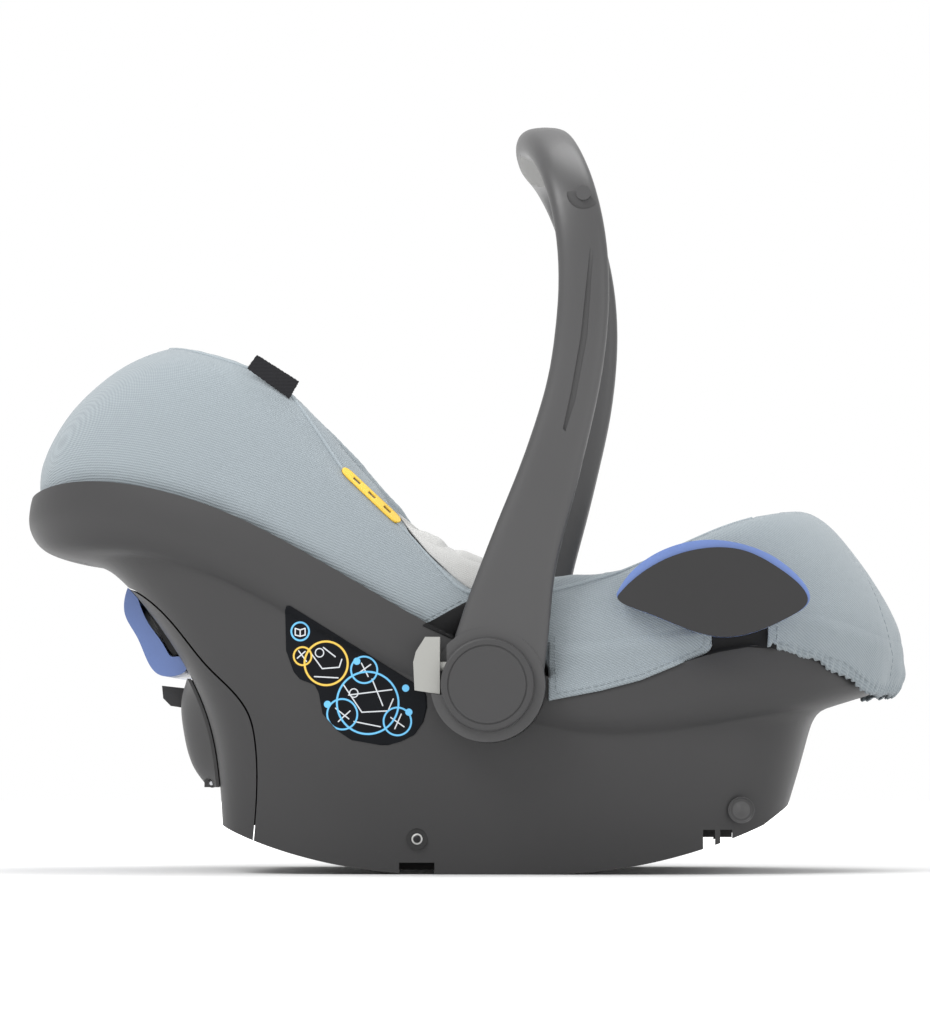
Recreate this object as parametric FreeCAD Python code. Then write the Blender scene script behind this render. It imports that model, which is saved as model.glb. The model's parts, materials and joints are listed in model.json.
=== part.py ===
import FreeCAD, Part
import math
import os

# Infant car seat. X runs from the head end (-) to the foot end (+), Y from the child's right (-)
# to the left (+), Z up. The origin is on the floor, midway along the shell, on the centre plane.
# All sizes are in millimetres.

V = FreeCAD.Vector

# ---- overall sizes ----
BODY_LENGTH = 693.0         # head lip to the front of the foot cover
BODY_WIDTH = 376.0          # across the shell at its lip
BODY_HEIGHT = 414.0         # floor to the top of the head rim
OUTLINE_LENGTH = 693.0      # the outlines below are drawn at these three sizes and stretched
OUTLINE_WIDTH = 376.0
OUTLINE_HEIGHT = 414.0

# ---- walls, layers and clearances ----
SHELL_WALL = 3.0
TUB_WALL = 3.0
COVER_THICKNESS = 9.0       # padded fabric cover
INLAY_THICKNESS = 13.0      # newborn inlay
SEAT_GAP = 0.35             # between pieces that seat on one another
RUN_GAP = 0.5               # beside pieces that move
PIN_GAP = 0.05              # radial clearance of a pin in its bore
SEAM_GAP = 1.2              # shadow gap between the shell and the rear cover
RING_POINTS = 30            # control points round each ring of the shell and the seat

# ---- rocker ----
ROCKER_FLAT = 80.0
ROCKER_X = 25.0             # middle of the flat
ROCKER_RADIUS = 400.0

# ---- handle ----
PIVOT = (27.0, 143.0)       # handle axis, X and Z
HUB_RADIUS = 43.0
HUB_STANDOFF = 8.0          # shell lip to the inner face of the handle arm
HUB_DEPTH = 13.0            # how far the hub boss reaches inside the lip
ARM_THICKNESS = 16.0
CAP_RADIUS = 35.0
CAP_THICKNESS = 7.7
BOLT_RADIUS = 8.0
BOLT_HEAD_RADIUS = 14.0
BOLT_HEAD = 3.0
HANDLE_REACH = 424.0        # handle axis to the middle of the grip
GRIP_THICKNESS = 25.0
GRIP_LENGTH = 170.0         # soft insert under the grip
GRIP_DEPTH = 4.0
SWING_CLEARANCE = 1.3       # under the grip as it swings past the head end
STUD_RADIUS = 5.5
STUD_DISH_RADIUS = 12.5
BUTTON_TRAVEL = 5.0
ROOM_STEPS = 8              # places of the button that its pocket is cut for
BUTTON_ROD_RADIUS = 3.5
COIL_STEPS = 12             # points on each turn of a spring

# ---- belt hooks and rear guide ----
HOOK_STANDOFF = 1.0         # shell lip to the inner face of the hook
HOOK_THICKNESS = 9.0
HOOK_COVER_THICKNESS = 4.5
GUIDE_WIDTH = 126.0

# ---- storage ----
LID_WIDTH = 200.0
LID_BOTTOM = 66.0
LID_TOP = 150.0
LID_THICKNESS = 2.5
LID_CHIN = 8.0              # depth of the lid at its lower edge
LID_BULGE = 20.0            # and at its fullest
BIN_BOTTOM = 73.0
BIN_TOP = 146.0
BIN_FRONT = -146.0
LID_PIN_RADIUS = 1.5

# ---- docking ----
DOCK_RADIUS = 5.0
DOCK_REAR = (-29.0, 27.0)
DOCK_FRONT = (217.0, 49.0)
BUSH_RADIUS = 8.0
BAR_CAP_RADIUS = 10.0

# ---- harness ----
STRAP_WIDTH = 38.0
STRAP_THICKNESS = 1.6
PAD_WIDTH = 58.0
PAD_THICKNESS = 11.0
CROTCH_PAD_THICKNESS = 7.5
STRAP_SPREAD = 42.0         # centre plane to each shoulder strap
BUCKLE_LENGTH = 62.0
BUCKLE_WIDTH = 48.0
BUCKLE_THICKNESS = 18.0
BUCKLE_X = 80.0
BUCKLE_TRAVEL = 3.0
ADJUSTER_X = 218.0
ADJUSTER_TRAVEL = 4.0


# ---- shared shape helpers ----
STRETCH_X = BODY_LENGTH / OUTLINE_LENGTH
STRETCH_Y = BODY_WIDTH / OUTLINE_WIDTH
STRETCH_Z = BODY_HEIGHT / OUTLINE_HEIGHT
PIVOT_X = PIVOT[0] * STRETCH_X
PIVOT_Z = PIVOT[1] * STRETCH_Z
LIP_Y = BODY_WIDTH / 2
ARM_Y = LIP_Y + HUB_STANDOFF


def along(outline, x):
    """Height of an outline, given as (x, z) points from head to foot, at one x."""
    if x <= outline[0][0]:
        return outline[0][1]
    for (x0, z0), (x1, z1) in zip(outline, outline[1:]):
        if x <= x1:
            return z0 + (z1 - z0) * (x - x0) / (x1 - x0)
    return outline[-1][1]


def placed(points):
    """Outline points as vectors on the centre plane, stretched to the body's size."""
    return [V(x * STRETCH_X, 0, z * STRETCH_Z) for x, z in points]


def ring(head_x, foot_x, half_width, height, squareness):
    """Closed loop round the body, its plan a squared ellipse and its height a function of x."""
    middle = (head_x + foot_x) / 2
    reach = (foot_x - head_x) / 2
    loop = []
    for k in range(RING_POINTS):
        turn = 2 * math.pi * k / RING_POINTS
        across = abs(math.sin(turn)) ** (2 / squareness) * math.copysign(1, math.sin(turn))
        forward = abs(math.cos(turn)) ** (2 / squareness) * math.copysign(1, math.cos(turn))
        x = middle - reach * forward
        loop.append(V(x * STRETCH_X, half_width * across * STRETCH_Y, height(x) * STRETCH_Z))
    return loop


def knots(count, degree, closed):
    """Multiplicities and values of an even knot row."""
    if closed:
        return [1] * (count + 1), [float(i) for i in range(count + 1)]
    spans = count - degree
    return [degree + 1] + [1] * (spans - 1) + [degree + 1], [float(i) for i in range(spans + 1)]


def surface(net, closed):
    """Spline surface on a net of control points, closed round its rows when asked."""
    rows = min(3, len(net) - 1)
    columns = min(3, len(net[0]) - 1)
    u_mults, u_knots = knots(len(net), rows, False)
    v_mults, v_knots = knots(len(net[0]), columns, closed)
    spline = Part.BSplineSurface()
    spline.buildFromPolesMultsKnots(net, u_mults, v_mults, u_knots, v_knots, False, closed, rows, columns)
    return spline


def solid_of(faces):
    """One solid from faces that meet at their edges."""
    shell = Part.makeShell(faces)
    shell.sewShape()
    solid = Part.Solid(shell if shell.ShapeType == "Shell" else shell.Shells[0])
    if solid.Volume < 0:
        solid.reverse()
    return solid


def ring_solid(front, back):
    """Wall between two nets of closed rings, open in the middle."""
    edges = [[front[0], back[0]], [front[-1], back[-1]]]
    return solid_of([surface(net, True).toShape() for net in [front, back] + edges])


def bowl_solid(front, back):
    """Wall between two nets of closed rings whose last rings are flat and closed by a floor."""
    faces = [surface(net, True).toShape() for net in (front, back, [front[0], back[0]])]
    for net in (front, back):
        spline = surface(net, True)
        floor_edge = spline.uIso(spline.bounds()[1]).toShape()
        faces.append(Part.Face(Part.Wire([floor_edge])))
    return solid_of(faces)


def quilt_solid(front, back):
    """Slab between two nets of open rows."""
    nets = [front, back, [front[0], back[0]], [front[-1], back[-1]]]
    nets.append([[row[0] for row in front], [row[0] for row in back]])
    nets.append([[row[-1] for row in front], [row[-1] for row in back]])
    return solid_of([surface(net, False).toShape() for net in nets])


def normal_at(net, i, j, closed):
    """Unit normal of a net at one control point, from its neighbours."""
    count = len(net[0])
    up = net[max(i - 1, 0)][j]
    down = net[min(i + 1, len(net) - 1)][j]
    if closed:
        left, right = net[i][j - 1], net[i][(j + 1) % count]
    else:
        left, right = net[i][max(j - 1, 0)], net[i][min(j + 1, count - 1)]
    normal = (down - up).cross(right - left)
    return normal.normalize()


def offset_net(net, distance, closed=True):
    """The net moved along its own normals."""
    moved = []
    for i, row in enumerate(net):
        moved.append([point + normal_at(net, i, j, closed) * distance for j, point in enumerate(row)])
    return moved


def offset_bowl(net, distance):
    """The net of a bowl moved along its normals, its last ring kept flat."""
    moved = offset_net(net, distance)
    moved[-1] = [V(p.x, p.y, net[-1][0].z + distance) for p in net[-1]]
    return moved


def box(x0, x1, y0, y1, z0, z1):
    """Box between two corners."""
    return Part.makeBox(x1 - x0, y1 - y0, z1 - z0, V(x0, y0, z0))


def rod(x, z, y0, y1, radius):
    """Cylinder along Y."""
    return Part.makeCylinder(radius, y1 - y0, V(x, y0, z), V(0, 1, 0))


def plate(points, y0, y1, smooth=False):
    """Outline in the XZ plane, straight or as one closed curve, extruded along Y."""
    vectors = [V(p.x, y0, p.z) for p in points]
    if smooth:
        curve = Part.BSplineCurve()
        curve.interpolate(Points=vectors, PeriodicFlag=True)
        wire = Part.Wire([curve.toShape()])
    else:
        wire = Part.makePolygon(vectors + vectors[:1])
    return Part.Face(wire).extrude(V(0, y1 - y0, 0))


def mirrored(shape):
    """The same piece on the other side of the centre plane."""
    return shape.mirror(V(0, 0, 0), V(0, 1, 0))


def largest(shape):
    """The largest solid of a cut."""
    return max(shape.Solids, key=lambda solid: solid.Volume)


def inmost(shape):
    """The solid of a cut that lies nearest the centre plane's middle."""
    return min(shape.Solids, key=lambda solid: solid.distToShape(Part.Vertex(0, 0, solid.CenterOfMass.z))[0])


def hit(shape, start, end):
    """First point of a shape met on the way from start to end."""
    crossing = shape.common(Part.makeLine(start, end))
    return min((v.Point for v in crossing.Vertexes), key=lambda p: p.distanceToPoint(start))


def ribbon(path, width, thickness):
    """Flat strap along a path of points, its width level and its thickness upwards."""
    lower = []
    upper = []
    for k, point in enumerate(path):
        ahead = path[min(k + 1, len(path) - 1)] - path[max(k - 1, 0)]
        side = V(0, 0, 1).cross(ahead).normalize()
        lift = ahead.cross(side).normalize()
        row = [point + side * (width * share) for share in (-0.5, -0.25, 0, 0.25, 0.5)]
        lower.append(row)
        upper.append([p + lift * thickness for p in row])
    return quilt_solid(upper, lower)


def save(name, shape):
    """Write one node."""
    shape.exportStep("parts/" + name + ".step")
    print(name, len(shape.Solids), shape.isValid(), round(shape.Volume / 1000, 2))


# ---- outer shell ----
BORDER = [(-346, 287), (-325, 296), (-292, 302), (-250, 299), (-209, 289), (-164, 273), (-109, 243), (-60, 213),
          (-20, 183), (27, 155), (73, 134), (141, 147), (195, 170), (246, 176), (285, 166), (324, 150)]
CREASE = [(-335, 250), (-293, 249), (-263, 254), (-218, 248), (-165, 227), (-109, 197), (-71, 170), (-30, 142),
          (27, 118), (110, 108), (195, 120), (246, 131), (300, 138)]
BELLY = [(-262, 226), (-218, 215), (-165, 190), (-109, 160), (-30, 112), (27, 92), (140, 85), (246, 98), (269, 108)]
HIP = [(-226, 184), (-165, 140), (-100, 105), (27, 62), (140, 58), (262, 82)]
LOW = [(-190, 120), (-100, 70), (27, 32), (140, 30), (253, 55)]
HEM = [(-182, 60), (-100, 30), (27, 5), (140, 5), (246, 30)]


def border(x):
    return along(BORDER, x)


def crease(x):
    return along(CREASE, x)


def shell_net():
    """Outside of the shell, from the lip down over the band and its crease to below the hem."""
    return [
        ring(-341, 322, 187, border, 3.0),
        ring(-345, 325, 189.5, inside_lip(0.35), 3.0),
        ring(-341, 324, 189.5, inside_lip(0.7), 3.0),
        ring(-331, 316, 187, lambda x: crease(x) + 2, 3.0),
        ring(-304, 294, 181, lambda x: crease(x) - 4, 3.2),
        ring(-285, 276, 178, lambda x: crease(x) - 7, 3.4),
        ring(-261, 269, 175, lambda x: along(BELLY, x), 4.0),
        ring(-225, 262, 169, lambda x: along(HIP, x), 4.6),
        ring(-189, 253, 162, lambda x: along(LOW, x), 5.5),
        ring(-184, 246, 154, lambda x: along(HEM, x), 6.0),
        ring(-182, 238, 149, lambda x: -12, 6.0),
    ]


def below_rocker():
    """Everything under the side view of the hem: a flat stretch between two long arcs."""
    half = ROCKER_FLAT / 2
    sweep = math.radians(25)
    outline = []
    for side in (-1, 1):
        start = V(ROCKER_X + side * half, 0, 0)
        centre = start + V(0, 0, ROCKER_RADIUS)
        half_way = centre + V(side * math.sin(sweep / 2), 0, -math.cos(sweep / 2)) * ROCKER_RADIUS
        end = centre + V(side * math.sin(sweep), 0, -math.cos(sweep)) * ROCKER_RADIUS
        corner = V(end.x + side * 60, 0, end.z + 45)
        base = V(corner.x, 0, -60)
        outline.append((start, half_way, end, corner, base))
    (a0, a1, a2, a3, a4), (b0, b1, b2, b3, b4) = outline
    edges = [Part.Arc(a0, a1, a2).toShape(), Part.makeLine(a2, a3), Part.makeLine(a3, a4), Part.makeLine(a4, b4),
             Part.makeLine(b4, b3), Part.makeLine(b3, b2), Part.Arc(b2, b1, b0).toShape(), Part.makeLine(b0, a0)]
    face = Part.Face(Part.Wire(Part.__sortEdges__(edges)))
    face.translate(V(0, -BODY_WIDTH, 0))
    return face.extrude(V(0, 2 * BODY_WIDTH, 0))


SEAM = [(-153, -60), (-154, 40), (-153, 100), (-158, 122), (-171, 140), (-190, 158), (-211, 183), (-262, 222)]


def behind_seam(shift):
    """Everything to the rear of the seam between the shell and the rear cover."""
    curve = Part.BSplineCurve()
    curve.interpolate(placed(SEAM))
    first, last = placed(SEAM)[0], placed(SEAM)[-1]
    back = V(last.x - BODY_LENGTH, 0, last.z)
    foot = V(back.x, 0, first.z)
    lines = [Part.makeLine(last, back), Part.makeLine(back, foot), Part.makeLine(foot, first)]
    face = Part.Face(Part.Wire([curve.toShape()] + lines))
    face.translate(V(shift, -BODY_WIDTH, shift * 0.7))
    return face.extrude(V(0, 2 * BODY_WIDTH, 0))


def dock_notches():
    """Mouths in the hem below the two docking bars."""
    rear = box(-43 * STRETCH_X, -16 * STRETCH_X, -BODY_WIDTH, BODY_WIDTH, -20, 9)
    front = box(188 * STRETCH_X, 210 * STRETCH_X, -BODY_WIDTH, BODY_WIDTH, -20, 34)
    divider = box(197 * STRETCH_X, 201 * STRETCH_X, -BODY_WIDTH, BODY_WIDTH, -20, 40)
    return rear.fuse(front.cut(divider))


# ---- seat cover, tub and inlay ----
RIDGE = [(-228, 414), (-160, 392), (-124, 368), (-84, 308), (-40, 264), (8, 221), (69, 223), (125, 233),
         (189, 264), (226, 278), (268, 286)]
CREST = [(-212, 408), (-150, 390), (-119, 374), (-98, 353), (-82, 326), (-61, 298), (-28, 262), (8, 222),
         (69, 214), (125, 224), (189, 252), (252, 280)]
WALL_MIDDLE = [(-262, 330), (-200, 316), (-150, 288), (-90, 232), (27, 163), (150, 183), (243, 235)]
WALL_LOW = [(-262, 268), (-150, 200), (27, 124), (150, 138), (227, 185)]
BOTTOM_EDGE = [(-185, 194), (-100, 138), (27, 95), (120, 104), (192, 136)]
BOTTOM = [(-95, 118), (27, 81), (135, 92)]
FLOOR_Z = 76.0


def ridge(x):
    return along(RIDGE, x)


def flank(share):
    """Height part of the way from the shell's lip to the ridge of the cover."""
    return lambda x: border(x) + share * (ridge(x) - border(x))


def inside_lip(share):
    """Height part of the way down the band, behind the shell's lip."""
    return lambda x: border(x) - share * (border(x) - crease(x))


def seat_net():
    """Outside of the cover, from where it tucks into the shell, over the ridge, to the seat's floor."""
    return [
        ring(-337, 318, 183, inside_lip(0.25), 3.0),
        ring(-337, 318.5, 183.3, lambda x: border(x) + 1, 3.0),
        ring(-339, 345, 186, flank(0.07), 3.0),
        ring(-337, 350, 187, flank(0.24), 3.0),
        ring(-316, 329, 186, flank(0.54), 3.0),
        ring(-273, 298, 180, flank(0.86), 3.0),
        ring(-228, 270, 168, ridge, 3.2),
        ring(-212, 252, 154, lambda x: along(CREST, x), 3.2),
        ring(-222, 246, 146, lambda x: along(CREST, x) - 24, 3.0),
        ring(-262, 243, 143, lambda x: along(WALL_MIDDLE, x), 2.8),
        ring(-262, 225, 136, lambda x: along(WALL_LOW, x), 2.6),
        ring(-185, 190, 118, lambda x: along(BOTTOM_EDGE, x), 2.4),
        ring(-92, 132, 88, lambda x: along(BOTTOM, x), 2.2),
        ring(-30, 95, 52, lambda x: FLOOR_Z, 2.2),
    ]


CREST_ROW = 7               # row of the padding's crest in the seat's net
HEM_ROWS = 4                # rows of the seat's net near the shell's lip
HEM_GAP = 2.8               # wider gap between cover and tub near the lip


def seat_cover(seat):
    """Padded fabric over the tub, from the shell's lip over the ridge to the floor."""
    cover = bowl_solid(seat, offset_bowl(seat, -COVER_THICKNESS))
    stem = hook_stem(SEAT_GAP)
    holes = hub_holes(SEAT_GAP, LIP_Y - 30) + [stem, mirrored(stem)]
    return largest(cover.cut(Part.makeCompound(holes)))


def tub_front(seat):
    """Face of the tub under the cover, with a flange that reaches out to the shell."""
    flange = [ring(-347, 324, 188, inside_lip(0.75), 3.0), ring(-334, 311, 177, inside_lip(0.66), 3.0)]
    hem = offset_bowl(seat, -COVER_THICKNESS - HEM_GAP)[:HEM_ROWS]
    return flange + hem + offset_bowl(seat, -COVER_THICKNESS - SEAT_GAP)[HEM_ROWS:]


def inner_tub(seat, wall_clear):
    """Rigid seat tub under the padding, with the posts that stand on the pan."""
    front = tub_front(seat)
    tub = bowl_solid(front, offset_bowl(front, -TUB_WALL)).cut(wall_clear)
    reach = HUB_RADIUS + SEAT_GAP
    notch = box(PIVOT_X - reach, PIVOT_X + reach, -BODY_WIDTH, HUB_DEPTH + SEAT_GAP - LIP_Y,
                PIVOT_Z - reach, PIVOT_Z + reach)
    tub = tub.cut(notch).cut(mirrored(notch))
    for post in tub_bosses():
        tub = tub.fuse(post)
    return largest(tub)


def tub_room(seat):
    """The tub without its flange and with a seating gap all round, to cut its neighbours with."""
    front = offset_bowl(tub_front(seat)[2:], SEAT_GAP)
    return bowl_solid(front, offset_bowl(front, -TUB_WALL - 2 * SEAT_GAP))


INLAY_TOP = [(-330, 300), (-262, 318), (-190, 322), (-130, 296), (-80, 264), (-55, 258), (-40, 272), (-20, 262),
             (0, 244), (14, 230), (40, 190), (120, 152), (165, 146), (262, 146)]


def seat_inlay(seat):
    """Newborn inlay that lines the seat, with a raised lobe at each hip."""
    lining = seat[CREST_ROW:]
    back = offset_bowl(lining, 2 * SEAT_GAP)
    front = offset_bowl(lining, 2 * SEAT_GAP + INLAY_THICKNESS)
    low = [(INLAY_TOP[-1][0], 0), (INLAY_TOP[0][0], 0)]
    below = plate(placed(INLAY_TOP + low), -BODY_WIDTH, BODY_WIDTH)
    return largest(bowl_solid(front, back).common(below))


# ---- belt hooks at the sides ----
HOOK = [(124, 213), (141, 234), (171, 249), (197, 252), (224, 247), (254, 230), (268, 206), (253, 194),
        (231, 184), (201, 179), (171, 187), (141, 199)]
HOOK_COVER = [(125, 211), (148, 231), (180, 244), (214, 245), (243, 232), (266, 204), (253, 194), (231, 184),
              (201, 179), (171, 187), (141, 199)]
HOOK_STEM = (178.0, 214.0, 190.0, 222.0)


def crown(top_y, rise):
    """Barrel whose right side crowns the hook's cover, a little lower towards its ends."""
    radius = 72.0 ** 2 / (2 * rise)
    return Part.makeCylinder(radius, BODY_HEIGHT, V(196 * STRETCH_X, radius - top_y, 0))


def hook_y():
    return LIP_Y + HOOK_STANDOFF


def hook_stem(gap):
    """Foot of the hook, from its plate through the cover to the tub."""
    x0, x1, z0, z1 = HOOK_STEM
    y = hook_y()
    return box(x0 * STRETCH_X - gap, x1 * STRETCH_X + gap, -y, -y * 0.62, z0 * STRETCH_Z - gap, z1 * STRETCH_Z + gap)


def belt_hook(tub_clear):
    """Coloured hook at the right side that the lap belt runs under."""
    y = hook_y()
    leaf = plate(placed(HOOK), -y - HOOK_THICKNESS, -y, smooth=True)
    stem = hook_stem(0).cut(tub_clear)
    outer = max(stem.Solids, key=lambda solid: abs(solid.CenterOfMass.y))
    return leaf.fuse(outer)


def belt_hook_cover():
    """Dark lens on the outside of the hook."""
    y = hook_y() + HOOK_THICKNESS
    leaf = plate(placed(HOOK_COVER), -y - HOOK_COVER_THICKNESS, -y, smooth=True)
    return leaf.common(crown(y + HOOK_COVER_THICKNESS, 3.0))


# ---- rear belt guide ----
GUIDE = [(-259, 227), (-264, 214), (-264, 202), (-254, 183), (-236, 153.5), (-227, 152.5), (-215, 159),
         (-216, 164), (-221, 168), (-227, 168), (-231, 173), (-255, 219)]
GUIDE_BACKING = [(-266, 242), (-254, 219), (-230, 174), (-226, 169.5), (-220, 170), (-205, 184), (-221, 180),
                 (-232, 199), (-245, 217), (-246, 242)]


def rear_belt_guide(wall_clear):
    """Coloured guide for the diagonal belt, across the back of the shell."""
    return largest(plate(placed(GUIDE), -GUIDE_WIDTH / 2, GUIDE_WIDTH / 2, smooth=True).cut(wall_clear))


def rear_guide_backing(wall_clear, guide):
    """Dark bracket that carries the rear guide and leaves a slot along the shell."""
    bracket = plate(placed(GUIDE_BACKING), -GUIDE_WIDTH / 2 + 3, GUIDE_WIDTH / 2 - 3).cut(wall_clear)
    outside = min(bracket.Solids, key=lambda solid: solid.BoundBox.XMin)
    return largest(outside.cut(guide))


# ---- rear cover, storage lid and bin ----
def lid_depth(y, z):
    """How far the lid bulges behind the rear cover."""
    across = max(0.0, 1 - abs(2 * y / LID_WIDTH) ** 6)
    rise = (z - LID_BOTTOM) / (LID_TOP - LID_BOTTOM)
    bulge = max(0.0, 1 - abs(2 * rise - 1) ** 2.4) ** 0.8
    return across * (LID_CHIN * (1 - rise) + 2 * rise + (LID_BULGE - LID_CHIN / 2) * bulge)


def lid_axis(wall):
    """Hinge line of the lid, just behind the skin at its lower edge."""
    z = LID_BOTTOM + 3
    skin = hit(wall, V(-BODY_LENGTH, 0, z), V(0, 0, z))
    return V(skin.x - 4.2, 0, z)


def storage_lid(wall):
    """Bulged lid of the storage space, hinged at its lower edge, with a finger lip on top."""
    front = []
    back = []
    for i in range(9):
        z = LID_BOTTOM + (LID_TOP - LID_BOTTOM) * i / 8
        front_row = []
        back_row = []
        for j in range(11):
            y = LID_WIDTH * (j / 10 - 0.5)
            skin = hit(wall, V(-BODY_LENGTH, y, z), V(0, y, z))
            rim = skin.x - RUN_GAP - 0.3
            depth = lid_depth(y, z)
            front_row.append(V(rim - LID_THICKNESS - depth * 1.05, y, z))
            back_row.append(V(rim - depth, y, z))
        front.append(front_row)
        back.append(back_row)
    lid = quilt_solid(front, back)
    lip = plate([V(-239, 0, 146), V(-238, 0, 136), V(-232, 0, 130), V(-206, 0, 126), V(-212, 0, 143)], -22, 22)
    lid = lid.fuse(lip.cut(quilt_solid(back, [[p + V(30, 0, 0) for p in row] for row in back])))
    axis = lid_axis(wall)
    for y in (-86.0, 80.0):
        knuckle = rod(axis.x, axis.z, y, y + 6, 3.4).fuse(box(axis.x - 6, axis.x, y, y + 6, axis.z - 3, axis.z + 3))
        lid = lid.fuse(knuckle).cut(rod(axis.x, axis.z, y - 1, y + 7, LID_PIN_RADIUS + PIN_GAP))
    for y in (-92.3, 86.2):
        room = rod(axis.x, axis.z, y, y + 6.1, 3.4)
        lid = lid.cut(room.fuse(box(axis.x, axis.x + 8, y, y + 6.1, axis.z - 3.4, axis.z + 3.4)))
    return largest(lid)


def rear_cover(rear, wall):
    """Rear panel of the shell, with the storage mouth and the ears of the lid's hinge."""
    panel = rear.cut(box(-BODY_LENGTH, -120, -79, 79, BIN_BOTTOM + 3, LID_TOP - 6))
    for y in (-87.0, 79.0):
        panel = panel.cut(box(-BODY_LENGTH, -120, y, y + 8, LID_BOTTOM - 3, BIN_BOTTOM + 8))
    axis = lid_axis(wall)
    for side in (-1, 1):
        y = side * 89.5 - 2
        ear = rod(axis.x, axis.z, y, y + 4, 2.7).fuse(box(axis.x, axis.x + 7, y, y + 4, axis.z - 2.7, axis.z + 2.7))
        panel = panel.fuse(ear).cut(rod(axis.x, axis.z, y - 1, y + 5, LID_PIN_RADIUS))
    return largest(panel)


def lid_hinge_pins(wall):
    """Two steel pins of the storage lid."""
    axis = lid_axis(wall)
    return Part.makeCompound([rod(axis.x, axis.z, -91.5, -79.5, LID_PIN_RADIUS),
                              rod(axis.x, axis.z, 79.5, 91.5, LID_PIN_RADIUS)])


def storage_bin(wall_clear):
    """Open-backed bin behind the lid."""
    outer = box(-230, BIN_FRONT, -88, 88, BIN_BOTTOM, BIN_TOP)
    inner = box(-240, BIN_FRONT - 2, -86, 86, BIN_BOTTOM + 2, BIN_TOP - 2)
    tray = outer.cut(inner).cut(wall_clear)
    return max(tray.Solids, key=lambda solid: solid.BoundBox.XMax)


# ---- base pan, docking bars and screws ----
PAN = [(-186, 52), (-100, 44), (-40, 38), (110, 38), (190, 56), (262, 68)]
PAN_WALL = 3.0
PAN_RIBS = [((188, 210), 28), ((-47, -12), 3)]      # X and underside of the ribs behind the notches
PAN_RIB_Y = (118, 121)
SCREW_X = (-12.0, 72.0)
SCREW_Y = 34.0
SCREW_RADIUS = 2.0
SCREW_HEAD_RADIUS = 4.5
BOSS_RADIUS = 6.0


def base_pan(wall_clear):
    """Floor of the shell between the skirts."""
    top = [(x, z + PAN_WALL / STRETCH_Z) for x, z in reversed(PAN)]
    slab = plate(placed(PAN + top), -BODY_WIDTH, BODY_WIDTH)
    pan = inmost(slab.cut(wall_clear))
    for x in SCREW_X:
        for y in (-SCREW_Y, SCREW_Y):
            pan = pan.cut(Part.makeCylinder(SCREW_RADIUS + 0.3, 40, V(x, y, 20)))
    return pan.fuse(pan_ribs())


def pan_ribs():
    """Ribs under the pan that close the docking notches from behind, with room for the rear bar."""
    x, z = DOCK_REAR[0] * STRETCH_X, DOCK_REAR[1]
    room = box(x - DOCK_RADIUS - 1, x + DOCK_RADIUS + 1, -BODY_WIDTH, BODY_WIDTH, z - DOCK_RADIUS - 1,
               z + DOCK_RADIUS + 1)
    ribs = []
    for (x0, x1), low in PAN_RIBS:
        outline = [(x0, low), (x1, low), (x1, along(PAN, x1) + 1), (x0, along(PAN, x0) + 1)]
        for y0, y1 in (PAN_RIB_Y, (-PAN_RIB_Y[1], -PAN_RIB_Y[0])):
            ribs.append(plate(placed(outline), y0, y1).cut(room))
    return ribs


def pan_top():
    return 38 * STRETCH_Z + PAN_WALL


def tub_bosses():
    """Posts under the tub that stand on the pan and take its screws."""
    posts = []
    for x in SCREW_X:
        for y in (-SCREW_Y, SCREW_Y):
            post = Part.makeCylinder(BOSS_RADIUS, FLOOR_Z * STRETCH_Z - COVER_THICKNESS - 2 - pan_top(),
                                     V(x, y, pan_top()))
            posts.append(post.cut(Part.makeCylinder(SCREW_RADIUS + PIN_GAP, 18, V(x, y, pan_top() - 1))))
    return posts


def base_screws():
    """Four screws that hold the pan to the tub."""
    screws = []
    for x in SCREW_X:
        for y in (-SCREW_Y, SCREW_Y):
            under = pan_top() - PAN_WALL
            shank = Part.makeCylinder(SCREW_RADIUS, PAN_WALL + 14, V(x, y, under - 0.5))
            head = Part.makeCylinder(SCREW_HEAD_RADIUS, 2.5, V(x, y, under - 2.5))
            slot = box(x - 3, x + 3, y - 0.6, y + 0.6, under - 3, under - 1.5)
            screws.append(shank.fuse(head).cut(slot))
    return Part.makeCompound(screws)


def skirt_y(wall, place):
    """Outside of the right skirt at a docking bar."""
    x, z = place[0] * STRETCH_X, place[1]
    return abs(hit(wall, V(x, -BODY_WIDTH, z), V(x, 0, z)).y)


def dock_holes(wall):
    """Holes through both skirts for the docking bars and their bushes."""
    holes = []
    for place, radius in ((DOCK_REAR, BUSH_RADIUS), (DOCK_FRONT, DOCK_RADIUS)):
        holes.append(rod(place[0] * STRETCH_X, place[1], -BODY_WIDTH, BODY_WIDTH, radius + PIN_GAP))
    return holes


def dock_bar(wall, place, past):
    """Steel bar across the underside that the docking hooks grip."""
    reach = skirt_y(wall, place) + past
    return rod(place[0] * STRETCH_X, place[1], -reach, reach, DOCK_RADIUS)


def dock_bush(wall):
    """Metal bush round the end of the rear bar in the right skirt."""
    y = skirt_y(wall, DOCK_REAR)
    x = DOCK_REAR[0] * STRETCH_X
    bush = rod(x, DOCK_REAR[1], -y - 0.8, -y + 8, BUSH_RADIUS)
    return bush.cut(rod(x, DOCK_REAR[1], -y - 2, -y + 9, DOCK_RADIUS + PIN_GAP))


def bar_cap(wall, wall_clear):
    """Round cap on the end of the front bar."""
    y = skirt_y(wall, DOCK_FRONT)
    x = DOCK_FRONT[0] * STRETCH_X
    cap = rod(x, DOCK_FRONT[1], -y - 7, -y - 2.4, BAR_CAP_RADIUS)
    cap = cap.makeFillet(1.8, [cap.Edges[0]] if cap.Edges[0].Curve.TypeId == "Part::GeomCircle" else cap.Edges[1:2])
    collar = rod(x, DOCK_FRONT[1], -y - 3, -y + 12, BAR_CAP_RADIUS)
    bore = rod(x, DOCK_FRONT[1], -y - SEAT_GAP, -y + 13, DOCK_RADIUS + PIN_GAP)
    whole = cap.fuse(collar).cut(wall_clear).cut(bore)
    return min(whole.Solids, key=lambda solid: solid.BoundBox.YMin)


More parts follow.
